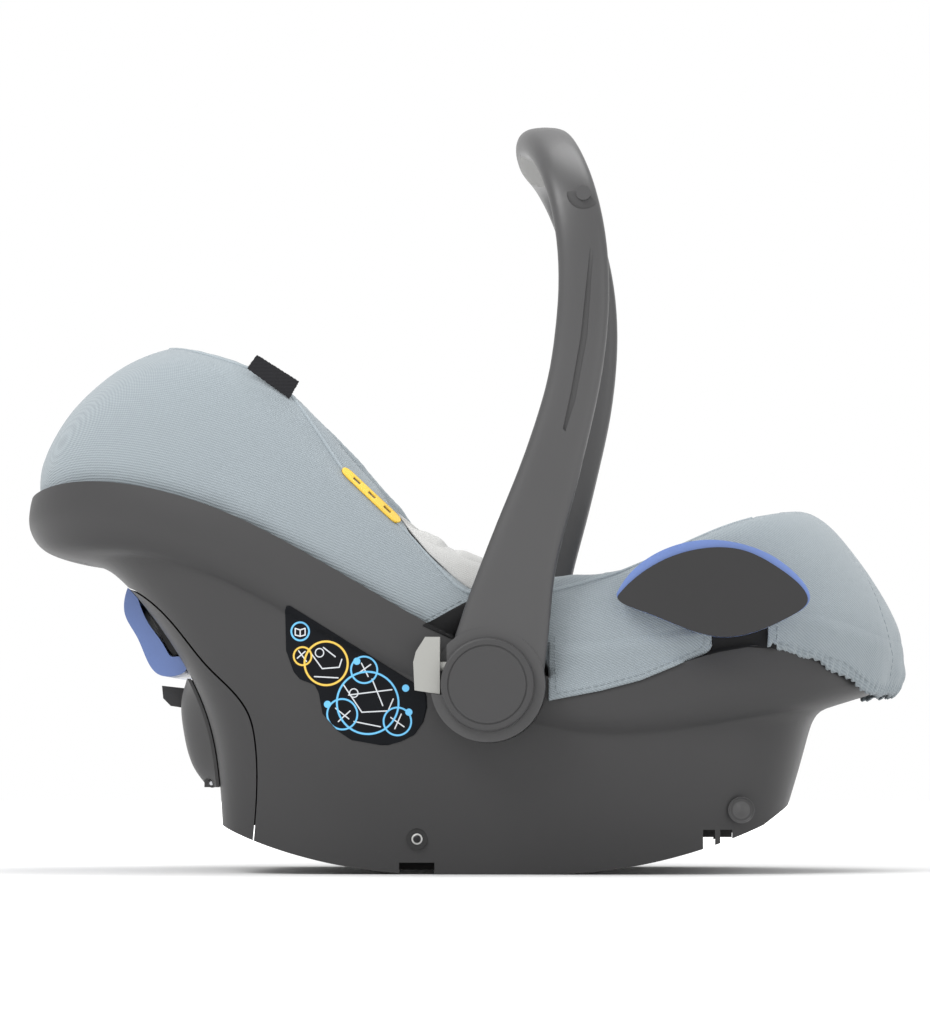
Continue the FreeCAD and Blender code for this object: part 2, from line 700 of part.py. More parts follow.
# ---- release lever under the head end ----
LEVER_REAR = -328.0
LEVER_FRONT = -299.0
LEVER_HALF_WIDTH = 42.0
LEVER_PIN_RADIUS = 2.0
LEVER_EAR = 4.0


def lever_axis(wall):
    """Hinge line of the lever, above the underside of the head lip."""
    x = (LEVER_FRONT - 5) * STRETCH_X
    under = hit(wall, V(x, 0, 0), V(x, 0, BODY_HEIGHT))
    return V(x, 0, under.z + SHELL_WALL + LEVER_PIN_RADIUS + 1.5)


def lever_window(gap):
    """Opening in the underside of the head lip for the lever."""
    half = LEVER_HALF_WIDTH + gap
    return box(LEVER_REAR * STRETCH_X - gap, LEVER_FRONT * STRETCH_X + gap, -half, half, 0, 265 * STRETCH_Z)


def release_lever(wall):
    """Squeeze lever in the underside of the head lip."""
    axis = lever_axis(wall)
    paddle = largest(wall.common(lever_window(-RUN_GAP)))
    half = LEVER_HALF_WIDTH - RUN_GAP
    barrel = rod(axis.x, axis.z, -half, half, LEVER_PIN_RADIUS + 1.5)
    web = box(axis.x - 3, axis.x + 3, -half, half, axis.z - 4.5, axis.z)
    pins = rod(axis.x, axis.z, -half - LEVER_EAR, half + LEVER_EAR, LEVER_PIN_RADIUS)
    return largest(paddle.fuse(barrel).fuse(web).fuse(pins))


def lever_ears(wall):
    """Two ears inside the head lip that hold the lever's pins."""
    axis = lever_axis(wall)
    ears = []
    for y in (-LEVER_HALF_WIDTH - RUN_GAP - LEVER_EAR, LEVER_HALF_WIDTH + RUN_GAP):
        under = hit(wall, V(axis.x, y, 0), V(axis.x, y, BODY_HEIGHT)).z
        ear = box(axis.x - 4.5, axis.x + 4.5, y, y + LEVER_EAR, under + 1, axis.z + 4.5)
        ears.append(ear.cut(rod(axis.x, axis.z, y - 1, y + LEVER_EAR + 1, LEVER_PIN_RADIUS + PIN_GAP)))
    return ears


def outer_shell(body, wall):
    """Main shell in front of the seam, with its holes and the ears of the lever."""
    shell = largest(body.cut(behind_seam(SEAM_GAP / 2)))
    shell = shell.cut(lever_window(RUN_GAP)).cut(Part.makeCompound(hub_holes(SEAT_GAP / 2, LIP_Y - 30)))
    shell = shell.cut(Part.makeCompound(dock_holes(wall))).cut(dock_notches())
    for ear in lever_ears(wall):
        shell = shell.fuse(ear)
    return largest(shell)


# ---- hub, handle and its buttons ----
def hub_y():
    return ARM_Y - RUN_GAP


def hub_holes(gap, inner_y):
    """Round holes at both sides for the hub bosses."""
    hole = rod(PIVOT_X, PIVOT_Z, -BODY_WIDTH, -inner_y, HUB_RADIUS + gap)
    return [hole, mirrored(hole)]


def hub_base(seat_clear):
    """Round boss on the right side of the shell that carries the handle's axle."""
    boss = rod(PIVOT_X, PIVOT_Z, -hub_y(), -LIP_Y + HUB_DEPTH, HUB_RADIUS)
    boss = boss.cut(seat_clear)
    outer = max(boss.Solids, key=lambda solid: abs(solid.CenterOfMass.y))
    return outer.cut(rod(PIVOT_X, PIVOT_Z, -BODY_WIDTH, 0, BOLT_RADIUS + PIN_GAP))


def pivot_bolt():
    """Axle of the handle at the right side."""
    shank = rod(PIVOT_X, PIVOT_Z, -ARM_Y - ARM_THICKNESS + BOLT_HEAD, -LIP_Y + HUB_DEPTH, BOLT_RADIUS)
    head = rod(PIVOT_X, PIVOT_Z, -ARM_Y - ARM_THICKNESS + 0.5, -ARM_Y - ARM_THICKNESS + BOLT_HEAD + 0.5,
               BOLT_HEAD_RADIUS)
    return shank.fuse(head)


# Stations of the bow from the hub to the middle of the grip, drawn for a reach of 424:
# forward of the pivot, above it, distance from the centre plane as a share of the arm's,
# width seen from the side, thickness.
BOW = [(6, 14, 1, 72, 16), (14, 50, 1, 66, 16), (21, 83, 1, 55, 16), (32, 118, 1, 50, 16), (45, 155, 1, 45, 16),
       (56, 193, 1, 41, 16), (65, 227, 1, 39, 16), (70, 261, 1, 39, 16), (73, 299, 1, 38, 16), (71, 338, 0.99, 37, 17),
       (63, 376, 0.94, 36, 19), (52, 404, 0.8, 36, 22), (42, 421, 0.6, 37, 24.5), (36, 424, 0.38, 38, 25),
       (34, 424, 0.18, 38, 25), (34, 424, 0, 38, 25)]
BOW_DRAWN_REACH = 424.0


def bow_net(reach):
    """Sections of the bow from the right hub over the grip to the left hub."""
    scale = reach / BOW_DRAWN_REACH
    arm_middle = ARM_Y + ARM_THICKNESS / 2
    half = [(V(PIVOT_X + x * scale, -share * arm_middle, PIVOT_Z + z * scale), width, thickness)
            for x, z, share, width, thickness in BOW]
    stations = half + [(V(p.x, -p.y, p.z), width, thickness) for p, width, thickness in reversed(half[:-1])]
    net = []
    for k, (point, width, thickness) in enumerate(stations):
        ahead = (stations[min(k + 1, len(stations) - 1)][0] - stations[max(k - 1, 0)][0]).normalize()
        broad = (V(1, 0, 0) - ahead * ahead.x).normalize()
        outward = broad.cross(ahead) * -1
        loop = []
        for n in range(16):
            turn = 2 * math.pi * n / 16
            across = abs(math.cos(turn)) ** 0.7 * math.copysign(1, math.cos(turn))
            away = abs(math.sin(turn)) ** 0.8 * math.copysign(1, math.sin(turn))
            loop.append(point + broad * (across * width * 0.515) + outward * (away * thickness * 0.515))
        net.append(loop)
    return net


def tube_solid(net):
    """Tube through closed flat sections, closed at both ends."""
    spline = surface(net, True)
    first, last = spline.bounds()[:2]
    ends = [Part.Face(Part.Wire([spline.uIso(u).toShape()])) for u in (first, last)]
    return solid_of([spline.toShape()] + ends)


def whole_bow(reach):
    """Bow with its two hub discs, before the pieces it carries are let in."""
    bow = tube_solid(bow_net(reach))
    for side in (-1, 1):
        inner = side * ARM_Y
        outer = side * (ARM_Y + ARM_THICKNESS)
        disc = rod(PIVOT_X, PIVOT_Z, min(inner, outer), max(inner, outer), HUB_RADIUS)
        bow = bow.fuse(disc)
    return bow


def grip_room(reach, gap):
    """Underside of the grip, where the soft insert sits."""
    scale = reach / BOW_DRAWN_REACH
    z = PIVOT_Z + reach - GRIP_THICKNESS / 2 + GRIP_DEPTH
    x = PIVOT_X + BOW[-1][0] * scale
    return box(x - 40, x + 40, -GRIP_LENGTH / 2 - gap, GRIP_LENGTH / 2 + gap, z - 40, z + gap)


GROOVE = [(77, 328), (79.5, 326), (75, 262), (66, 214), (58.5, 190), (56.5, 192), (63, 222), (70, 262)]
STUD = (72.0, 371.0)
BUTTON = [(-29, 160), (-27, 168), (-20, 179), (-9, 179), (-9, 136), (-28, 139)]
BUTTON_ROD_Z = 157.0


def stud_place(reach):
    scale = reach / BOW_DRAWN_REACH
    return V(PIVOT_X + STUD[0] * scale, 0, PIVOT_Z + STUD[1] * scale)


def groove_points(reach):
    scale = reach / BOW_DRAWN_REACH
    return [V(PIVOT_X + x * scale, 0, PIVOT_Z + z * scale) for x, z in GROOVE]


def button_outline(grow):
    """Tab of the handle button seen from the side, about the pivot."""
    points = [V(PIVOT_X + x - PIVOT[0], 0, PIVOT_Z + z - PIVOT[1]) for x, z in BUTTON]
    middle = V(PIVOT_X - 46, 0, PIVOT_Z + 14)
    return [p + (p - middle).normalize() * grow for p in points]


def button_layers():
    """Inner and outer faces of the handle button's tab."""
    return ARM_Y + 3.5, ARM_Y + ARM_THICKNESS - 1.5


def rod_place():
    low, high = button_layers()
    return (low + high) / 2, PIVOT_Z + BUTTON_ROD_Z - PIVOT[1]


def handle_button():
    """Light button at the rear of the right hub, pressed towards the axle."""
    low, high = button_layers()
    y, z = rod_place()
    tab = plate(button_outline(0), -high, -low)
    stem = Part.makeCylinder(BUTTON_ROD_RADIUS, 12, V(PIVOT_X - 38, -y, z), V(1, 0, 0))
    return tab.fuse(stem)


def button_room():
    """Pocket in the hub disc for the button, its rod and its spring."""
    low, high = button_layers()
    y, z = rod_place()
    room = Part.makeCylinder(BUTTON_ROD_RADIUS + PIN_GAP, 24, V(PIVOT_X - 38, -y, z), V(1, 0, 0))
    for step in range(ROOM_STEPS + 1):
        tab = plate(button_outline(RUN_GAP), -high - 20, -low + RUN_GAP)
        tab.translate(V(BUTTON_TRAVEL * step / ROOM_STEPS, 0, 0))
        room = room.fuse(tab)
    return room


def handle_bow(reach):
    """Carrying handle: a bow on two hub discs, grooved arms, and seats for what it carries."""
    bow = whole_bow(reach).cut(grip_room(reach, SEAT_GAP / 2))
    stud = stud_place(reach)
    outer = ARM_Y + ARM_THICKNESS
    right = [rod(PIVOT_X, PIVOT_Z, -outer - 1, -ARM_Y + 1, BOLT_RADIUS + PIN_GAP),
             rod(PIVOT_X, PIVOT_Z, -outer - 1, -outer + BOLT_HEAD + 1, BOLT_HEAD_RADIUS + RUN_GAP),
             rod(stud.x, stud.z, -outer - 20, -outer + 12, STUD_DISH_RADIUS),
             plate(groove_points(reach), -outer - 20, -outer + 2.2),
             button_room()]
    for tool in right:
        bow = bow.cut(tool).cut(mirrored(tool))
    return largest(bow)


def handle_grip(reach):
    """Soft insert on the underside of the grip."""
    return largest(tube_solid(bow_net(reach)).common(grip_room(reach, -SEAT_GAP / 2)))


def canopy_stud(reach):
    """Knob in the dish of the right arm that holds a sun canopy."""
    stud = stud_place(reach)
    outer = ARM_Y + ARM_THICKNESS
    knob = rod(stud.x, stud.z, -outer + 8, -outer + 12 - SEAT_GAP, STUD_RADIUS)
    return knob.makeFillet(1.2, knob.Edges[:1])


def hub_cap():
    """Plain cap over the right hub, with a shallow ring groove."""
    y = ARM_Y + ARM_THICKNESS + SEAT_GAP
    cap = rod(PIVOT_X, PIVOT_Z, -y - CAP_THICKNESS, -y, CAP_RADIUS)
    rim = [edge for edge in cap.Edges if abs(edge.BoundBox.YMin + y + CAP_THICKNESS) < 0.01
           and edge.BoundBox.YLength < 0.01]
    cap = cap.makeFillet(2.0, rim)
    groove = rod(PIVOT_X, PIVOT_Z, -y - CAP_THICKNESS - 1, -y - CAP_THICKNESS + 0.8, CAP_RADIUS - 5)
    return cap.cut(groove.cut(rod(PIVOT_X, PIVOT_Z, -y - 20, -y, CAP_RADIUS - 6.2)))


def head_reach(seat):
    """Farthest that the head end comes from the handle's axis."""
    tops = [math.hypot(p.x - PIVOT_X, p.z - PIVOT_Z) for row in seat for p in row]
    return max(tops)


# ---- harness ----
def rest_height(pieces, x, y):
    """Top of the pieces that line the seat, at one place."""
    return max(hit(piece, V(x, y, 0.9 * BODY_HEIGHT + 60), V(x, y, 0)).z for piece in pieces)


def strap_points(lining, route, width, lift):
    """Route of (x, y) points laid on the lining, clear of it across the strap's width."""
    path = []
    for k, (x, y) in enumerate(route):
        (x0, y0), (x1, y1) = route[max(k - 1, 0)], route[min(k + 1, len(route) - 1)]
        length = math.hypot(x1 - x0, y1 - y0)
        side = V(-(y1 - y0) / length, (x1 - x0) / length, 0)
        spots = [V(x, y, 0) + side * (width * share) for share in (-0.5, 0, 0.5)]
        path.append(V(x, y, max(rest_height(lining, p.x, p.y) for p in spots) + lift))
    return path


def shoulder_route():
    """Plan route of the right shoulder strap, from its slot to the buckle's tongue."""
    low = BUCKLE_X - BUCKLE_LENGTH / 2 - 26
    spread = STRAP_SPREAD
    return [(-192, -spread), (-165, -spread), (-130, -spread), (-95, -spread), (-60, -spread * 0.94),
            (-25, -spread * 0.82), (0, -spread * 0.64), (low, -spread * 0.52)]


def shoulder_strap(lining):
    """Right shoulder strap, lying down the backrest."""
    return ribbon(strap_points(lining, shoulder_route(), STRAP_WIDTH, 1.0), STRAP_WIDTH, STRAP_THICKNESS)


def shoulder_pad(lining):
    """Soft pad round the right shoulder strap."""
    lift = STRAP_THICKNESS + SEAT_GAP
    points = strap_points(lining, shoulder_route()[:5], PAD_WIDTH, lift)
    points[0] = points[0] + (points[1] - points[0]) * 0.5
    return ribbon(points, PAD_WIDTH, PAD_THICKNESS)


def crotch_pad_points(lining):
    """Where the crotch pad lies under the buckle."""
    half = BUCKLE_LENGTH / 2
    route = [(BUCKLE_X + half * share, 0) for share in (-1.3, -0.8, -0.4, 0, 0.4, 0.8, 1.0)]
    return strap_points(lining, route, PAD_WIDTH, 0.8)


def buckle_floor(lining):
    """Underside of the buckle, on top of the crotch pad."""
    return max(p.z for p in crotch_pad_points(lining)[1:]) + CROTCH_PAD_THICKNESS + SEAT_GAP


def tongue(lining):
    """Right metal tongue, from the strap's loop into the buckle."""
    z = buckle_floor(lining) + BUCKLE_THICKNESS / 2
    head = BUCKLE_X - BUCKLE_LENGTH / 2
    blade = box(head - 6, head + 12, -20, -4, z - 1.2, z + 1.2)
    loop = box(head - 24, head - 5, -26, -3, z - 1.2, z + 1.2)
    eye = box(head - 21, head - 13, -23, -6, z - 3, z + 3)
    return loop.cut(eye).fuse(blade)


def buckle_body(lining):
    """Housing of the buckle, with slots for both tongues and a well for its button."""
    z = buckle_floor(lining)
    head = BUCKLE_X - BUCKLE_LENGTH / 2
    housing = box(head, head + BUCKLE_LENGTH, -BUCKLE_WIDTH / 2, BUCKLE_WIDTH / 2, z, z + BUCKLE_THICKNESS)
    upright = [e for e in housing.Edges if e.BoundBox.ZLength > BUCKLE_THICKNESS - 0.1]
    housing = housing.makeFillet(9, upright)
    top = [e for e in housing.Edges if e.BoundBox.ZMin > z + BUCKLE_THICKNESS - 0.1]
    housing = housing.makeFillet(3, top)
    middle = z + BUCKLE_THICKNESS / 2
    for side in (-1, 1):
        y = side * 12
        housing = housing.cut(box(head - 1, head + 12.6, y - 8.4, y + 8.4, middle - 1.5, middle + 1.5))
    well = box(*button_span(RUN_GAP), z + BUCKLE_THICKNESS - 6.5, z + 2 * BUCKLE_THICKNESS)
    bore = Part.makeCylinder(4.5, 20, V(BUCKLE_X + 10, 0, z + BUCKLE_THICKNESS - 12))
    return housing.cut(well).cut(bore)


def button_span(gap):
    return BUCKLE_X - 4 - gap, BUCKLE_X + 24 + gap, -14 - gap, 14 + gap


def buckle_button(lining):
    """Release button of the buckle, pressed down into its well."""
    z = buckle_floor(lining) + BUCKLE_THICKNESS
    plate_ = box(*button_span(0), z - 3, z + 1.2)
    top = [e for e in plate_.Edges if e.BoundBox.ZMin > z + 1.1]
    stem = Part.makeCylinder(2.2, 4, V(BUCKLE_X + 10, 0, z - 6.5))
    return plate_.makeFillet(1.0, top).fuse(stem)


def coil(radius, height, pitch, wire, place, axis):
    """Coil spring that starts at a place and rises along an axis."""
    steps = int(COIL_STEPS * height / pitch)
    path = []
    for i in range(steps + 1):
        turn = 2 * math.pi * i / steps * height / pitch
        path.append(V(radius * math.cos(turn), radius * math.sin(turn), height * i / steps))
    line = Part.BSplineCurve()
    line.interpolate(path)
    section = Part.Circle(path[0], line.tangent(line.FirstParameter)[0], wire).toShape()
    spring = Part.Wire([line.toShape()]).makePipeShell([Part.Wire([section])], True, True)
    spring.Placement = FreeCAD.Placement(place, FreeCAD.Rotation(V(0, 0, 1), axis))
    return spring


def crotch_strap(lining):
    """Strap from the seat's floor to the buckle."""
    z = buckle_floor(lining)
    tail = BUCKLE_X + BUCKLE_LENGTH / 2
    low = rest_height(lining, tail + 26, 0)
    points = [V(tail + 0.4, 0, z + 7), V(tail + 9, 0, z + 7), V(tail + 18, 0, max(z + 4, low + 4)),
              V(tail + 26, 0, low + 2)]
    return ribbon(points, STRAP_WIDTH, STRAP_THICKNESS * 1.5)


def crotch_pad(lining):
    """Soft pad under the buckle."""
    return ribbon(crotch_pad_points(lining), PAD_WIDTH, CROTCH_PAD_THICKNESS)


def adjuster_place(cover):
    """Bearing of the harness adjuster on the foot slope of the seat: middle point and slope."""
    low = V(ADJUSTER_X - 12, 0, rest_height([cover], ADJUSTER_X - 12, 0))
    high = V(ADJUSTER_X + 10, 0, rest_height([cover], ADJUSTER_X + 10, 0))
    return (low + high) * 0.5, math.degrees(math.atan2(high.z - low.z, high.x - low.x))


def tilted(shape, place, slope):
    """Move a piece from the origin onto a slope."""
    moved = shape.copy()
    moved.Placement = FreeCAD.Placement(place, FreeCAD.Rotation(V(0, 1, 0), -slope))
    return moved


def adjuster_housing(cover):
    """Housing of the harness adjuster."""
    housing = box(-17, 17, -22, 22, 1.0, 10)
    upright = [e for e in housing.Edges if e.BoundBox.ZLength > 8]
    housing = housing.makeFillet(6, upright)
    housing = housing.cut(box(-9 - RUN_GAP, 9 + RUN_GAP, -13 - RUN_GAP, 13 + RUN_GAP, 3, 12))
    return tilted(housing, *adjuster_place(cover))


def adjuster_button(cover):
    """Button in the adjuster that frees the harness."""
    button = box(-9, 9, -13, 13, 3 + ADJUSTER_TRAVEL + 0.4, 11.5)
    top = [e for e in button.Edges if e.BoundBox.ZMin > 11.4]
    return tilted(button.makeFillet(1.5, top), *adjuster_place(cover))


# ---- small pieces on the cover and the shell ----
HOLDER_LENGTH = (-84, 308), (-42, 269)
HOLDER_WIDTH = 12.0
TAB = [(-160, 386), (-152, 397), (-119, 376), (-127, 362)]
INSTRUCTION_LABEL = [(-128, 204), (-122, 202), (-22, 140), (-20, 126), (-32, 104), (-56, 98), (-79, 102),
                     (-100, 122), (-103, 140), (-117, 147), (-128, 170)]


def strap_holder(seat):
    """Bright plate with three slots on the outer slope of the rim, which parks the open harness."""
    spline = surface(seat, True)
    (x0, z0), (x1, z1) = HOLDER_LENGTH
    y = -BODY_WIDTH * 0.46
    u0, v0 = spline.parameter(V(x0 * STRETCH_X, y, z0 * STRETCH_Z))
    u1, v1 = spline.parameter(V(x1 * STRETCH_X, y, z1 * STRETCH_Z))
    up = math.copysign(1, spline.normal(spline.bounds()[1], v0).z)
    nets = ([], [])
    for i in range(5):
        for net, height in zip(nets, (SEAT_GAP + 2.6, SEAT_GAP)):
            row = []
            for j in range(5):
                u = u0 + (u1 - u0) * i / 4
                v = v0 + (v1 - v0) * i / 4
                edge = spline.value(u, v)
                below = spline.value(u + 0.5, v)
                u = u + 0.5 * HOLDER_WIDTH * (j / 4) / edge.distanceToPoint(below)
                row.append(spline.value(u, v) + spline.normal(u, v) * (up * height))
            net.append(row)
    holder = quilt_solid(*nets)
    middle = holder.CenterOfMass
    run = V(x1 * STRETCH_X - x0 * STRETCH_X, 0, (z1 - z0) * STRETCH_Z).normalize()
    for k in (-1, 0, 1):
        at = middle + run * (k * 15.0)
        slot = Part.makeBox(7, 60, 4.2, V(-3.5, -30, -2.1))
        slot.Placement = FreeCAD.Placement(at, FreeCAD.Rotation(V(1, 0, 0), run))
        holder = holder.cut(slot)
    return holder


def label_tab(cover):
    """Plain dark tab sewn into the seam at the right of the head end."""
    points = placed(TAB)
    root = (points[0] + points[3]) * 0.5 - V(0, 0, 3)
    side = hit(cover, root - V(0, BODY_WIDTH, 0), root).y
    return plate(points, side - 1.4, side - 0.4)


def instruction_label(outside):
    """Thin printed label on the right side of the shell."""
    skin = ring_solid(offset_net(outside, 0.45), offset_net(outside, 0.05))
    return largest(skin.common(plate(placed(INSTRUCTION_LABEL), -BODY_WIDTH, -BODY_WIDTH / 4)))


def save_pair(name, right):
    """Write a piece of the child's right side and its mirror on the left."""
    save(name + "_right", right)
    save(name + "_left", mirrored(right))


def save_shell_parts(outside, seat):
    """Shell, covers, pan, guides, hooks and docking hardware."""
    wall = ring_solid(outside, offset_net(outside, -SHELL_WALL))
    wall_clear = ring_solid(offset_net(outside, SEAT_GAP), offset_net(outside, -SHELL_WALL - SEAT_GAP))
    body = wall.cut(below_rocker())
    tub_clear = tub_room(seat)
    guide = rear_belt_guide(wall_clear)
    save("outer_shell", outer_shell(body, wall))
    save("rear_cover", rear_cover(body.common(behind_seam(-SEAM_GAP / 2)), wall))
    save("storage_lid", storage_lid(wall))
    save("lid_hinge_pins", lid_hinge_pins(wall))
    save("storage_bin", storage_bin(wall_clear))
    save("inner_tub", inner_tub(seat, wall_clear))
    save("base_pan", base_pan(wall_clear))
    save("base_screws", base_screws())
    save("release_lever", release_lever(wall))
    save("rear_belt_guide", guide)
    save("rear_guide_backing", rear_guide_backing(wall_clear, guide))
    save("dock_bar_rear", dock_bar(wall, DOCK_REAR, 0.5))
    save("dock_bar_front", dock_bar(wall, DOCK_FRONT, 0))
    save_pair("dock_bush", dock_bush(wall))
    save_pair("bar_cap", bar_cap(wall, wall_clear))
    save_pair("belt_hook", belt_hook(tub_clear))
    save_pair("belt_hook_cover", belt_hook_cover())
    save_pair("hub_base", hub_base(tub_clear))
    save_pair("instruction_label", instruction_label(outside))


def save_handle_parts(reach):
    """Handle and everything that rides on it or carries it."""
    save("handle_bow", handle_bow(reach))
    save("handle_grip", handle_grip(reach))
    save_pair("pivot_bolt", pivot_bolt())
    save_pair("hub_cap", hub_cap())
    save_pair("canopy_stud", canopy_stud(reach))
    save_pair("handle_button", handle_button())
    y, z = rod_place()
    spring = coil(BUTTON_ROD_RADIUS - 0.9, 8.8, 1.9, 0.4, V(PIVOT_X - 25.2, -y, z), V(1, 0, 0))
    save_pair("button_spring", spring)


def save_seat_parts(seat):
    """Cover, inlay, harness and the small pieces on them."""
    cover = seat_cover(seat)
    inlay = seat_inlay(seat)
    lining = [cover, inlay]
    save("seat_cover", cover)
    save("seat_inlay", inlay)
    save("label_tab", label_tab(cover))
    save_pair("strap_holder", strap_holder(seat))
    save_pair("shoulder_strap", shoulder_strap([inlay]))
    save_pair("shoulder_pad", shoulder_pad([inlay]))
    save_pair("buckle_tongue", tongue([inlay]))
    save("buckle_body", buckle_body([inlay]))
    save("buckle_button", buckle_button([inlay]))
    floor = buckle_floor([inlay]) + BUCKLE_THICKNESS
    save("buckle_spring", coil(3.3, 5.0, 1.4, 0.35, V(BUCKLE_X + 10, 0, floor - 11.4), V(0, 0, 1)))
    save("crotch_strap", crotch_strap([inlay]))
    save("crotch_pad", crotch_pad([inlay]))
    save("adjuster_housing", adjuster_housing(cover))
    save("adjuster_button", adjuster_button(cover))


def main():
    os.makedirs("parts", exist_ok=True)
    outside = shell_net()
    seat = seat_net()
    save_shell_parts(outside, seat)
    save_handle_parts(max(HANDLE_REACH, head_reach(seat) + SWING_CLEARANCE + GRIP_THICKNESS / 2))
    save_seat_parts(seat)


main()
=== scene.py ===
import json
import math

import bmesh
import bpy
from mathutils import Matrix, Vector, noise
from mathutils.bvhtree import BVHTree


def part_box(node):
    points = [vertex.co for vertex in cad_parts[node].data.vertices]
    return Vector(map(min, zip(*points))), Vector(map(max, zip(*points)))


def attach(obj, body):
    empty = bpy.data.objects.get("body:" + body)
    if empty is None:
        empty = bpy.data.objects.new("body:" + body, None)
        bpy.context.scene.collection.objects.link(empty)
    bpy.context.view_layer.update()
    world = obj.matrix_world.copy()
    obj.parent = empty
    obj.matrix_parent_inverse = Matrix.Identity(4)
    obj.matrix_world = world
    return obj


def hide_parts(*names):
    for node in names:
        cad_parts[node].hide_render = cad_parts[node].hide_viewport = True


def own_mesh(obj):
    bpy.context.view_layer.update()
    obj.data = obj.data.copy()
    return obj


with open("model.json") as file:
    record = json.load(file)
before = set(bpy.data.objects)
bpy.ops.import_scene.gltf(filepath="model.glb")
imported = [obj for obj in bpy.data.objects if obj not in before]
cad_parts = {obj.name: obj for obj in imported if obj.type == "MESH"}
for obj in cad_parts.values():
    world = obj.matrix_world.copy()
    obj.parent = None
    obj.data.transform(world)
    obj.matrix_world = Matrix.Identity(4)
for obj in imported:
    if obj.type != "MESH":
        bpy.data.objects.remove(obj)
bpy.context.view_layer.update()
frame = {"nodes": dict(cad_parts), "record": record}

MM = 0.001
WELD = 0.00002

# ---- sizes of the soft parts, in metres ----
COVER_VOXEL = 0.0048
INLAY_VOXEL = 0.0046
PAD_VOXEL = 0.0032
PIPING_RADIUS = 0.0014
THREAD_RADIUS = 0.00038
STITCH = 0.0034
STITCH_GAP = 0.0016
GATHER_PITCH = 0.0062
GATHER_DEPTH = 0.0013

WING_SPAN = (-0.044, 0.046)
WING_SIDE = 0.1615
WING_RADIUS = 0.0190
WING_FLATNESS = 0.56
WING_DROP = 0.0165
WING_STEPS = 56

FLAP_CLOTH = 0.0013
WING_CLOTH = 0.0012
HIDDEN_EDGE = -0.0012       # a flap starts this far inside the cover

# ---- places, in metres: x and z ----
HUB = (0.027, 0.143)
REAR_BAR = (-0.029, 0.027)
FRONT_BAR = (0.217, 0.049)

# ---- colours, linear ----
FABRIC_BLUE = (0.270, 0.307, 0.330)
INLAY_GREY = (0.44, 0.465, 0.48)
SHELL_GREY = (0.0400, 0.0395, 0.0402)
HANDLE_GREY = (0.0500, 0.0495, 0.0505)
BELT_BLUE = (0.112, 0.182, 0.430)
LENS_DARK = (0.024, 0.0235, 0.024)
BUTTON_GREY = (0.330, 0.330, 0.312)
HOLDER_YELLOW = (0.760, 0.500, 0.070)


# ---- shader sums ----
class Value:
    """A number socket of a shader, used like a number in sums."""

    def __init__(self, finish, socket):
        self.finish = finish
        self.socket = socket

    def math(self, operation, *others):
        node = self.finish.node("ShaderNodeMath", {"operation": operation}, [self, *others])
        return Value(self.finish, node.outputs[0])

    def __add__(self, other):
        return self.math("ADD", other)

    def __sub__(self, other):
        return self.math("SUBTRACT", other)

    def __rsub__(self, other):
        return self.math("MULTIPLY", -1.0).math("ADD", other)

    def __mul__(self, other):
        return self.math("MULTIPLY", other)

    def __truediv__(self, other):
        return self.math("DIVIDE", other)

    __radd__ = __add__
    __rmul__ = __mul__

    def least(self, other):
        return self.math("MINIMUM", other)

    def most(self, other):
        return self.math("MAXIMUM", other)

    def size(self):
        return self.math("ABSOLUTE")

    def sine(self):
        return self.math("SINE")

    def soft_step(self, low, high):
        """0 below low, 1 above high."""
        node = self.finish.node("ShaderNodeMapRange", {"interpolation_type": "SMOOTHSTEP"},
                                [self, low, high, 0.0, 1.0])
        return Value(self.finish, node.outputs[0])


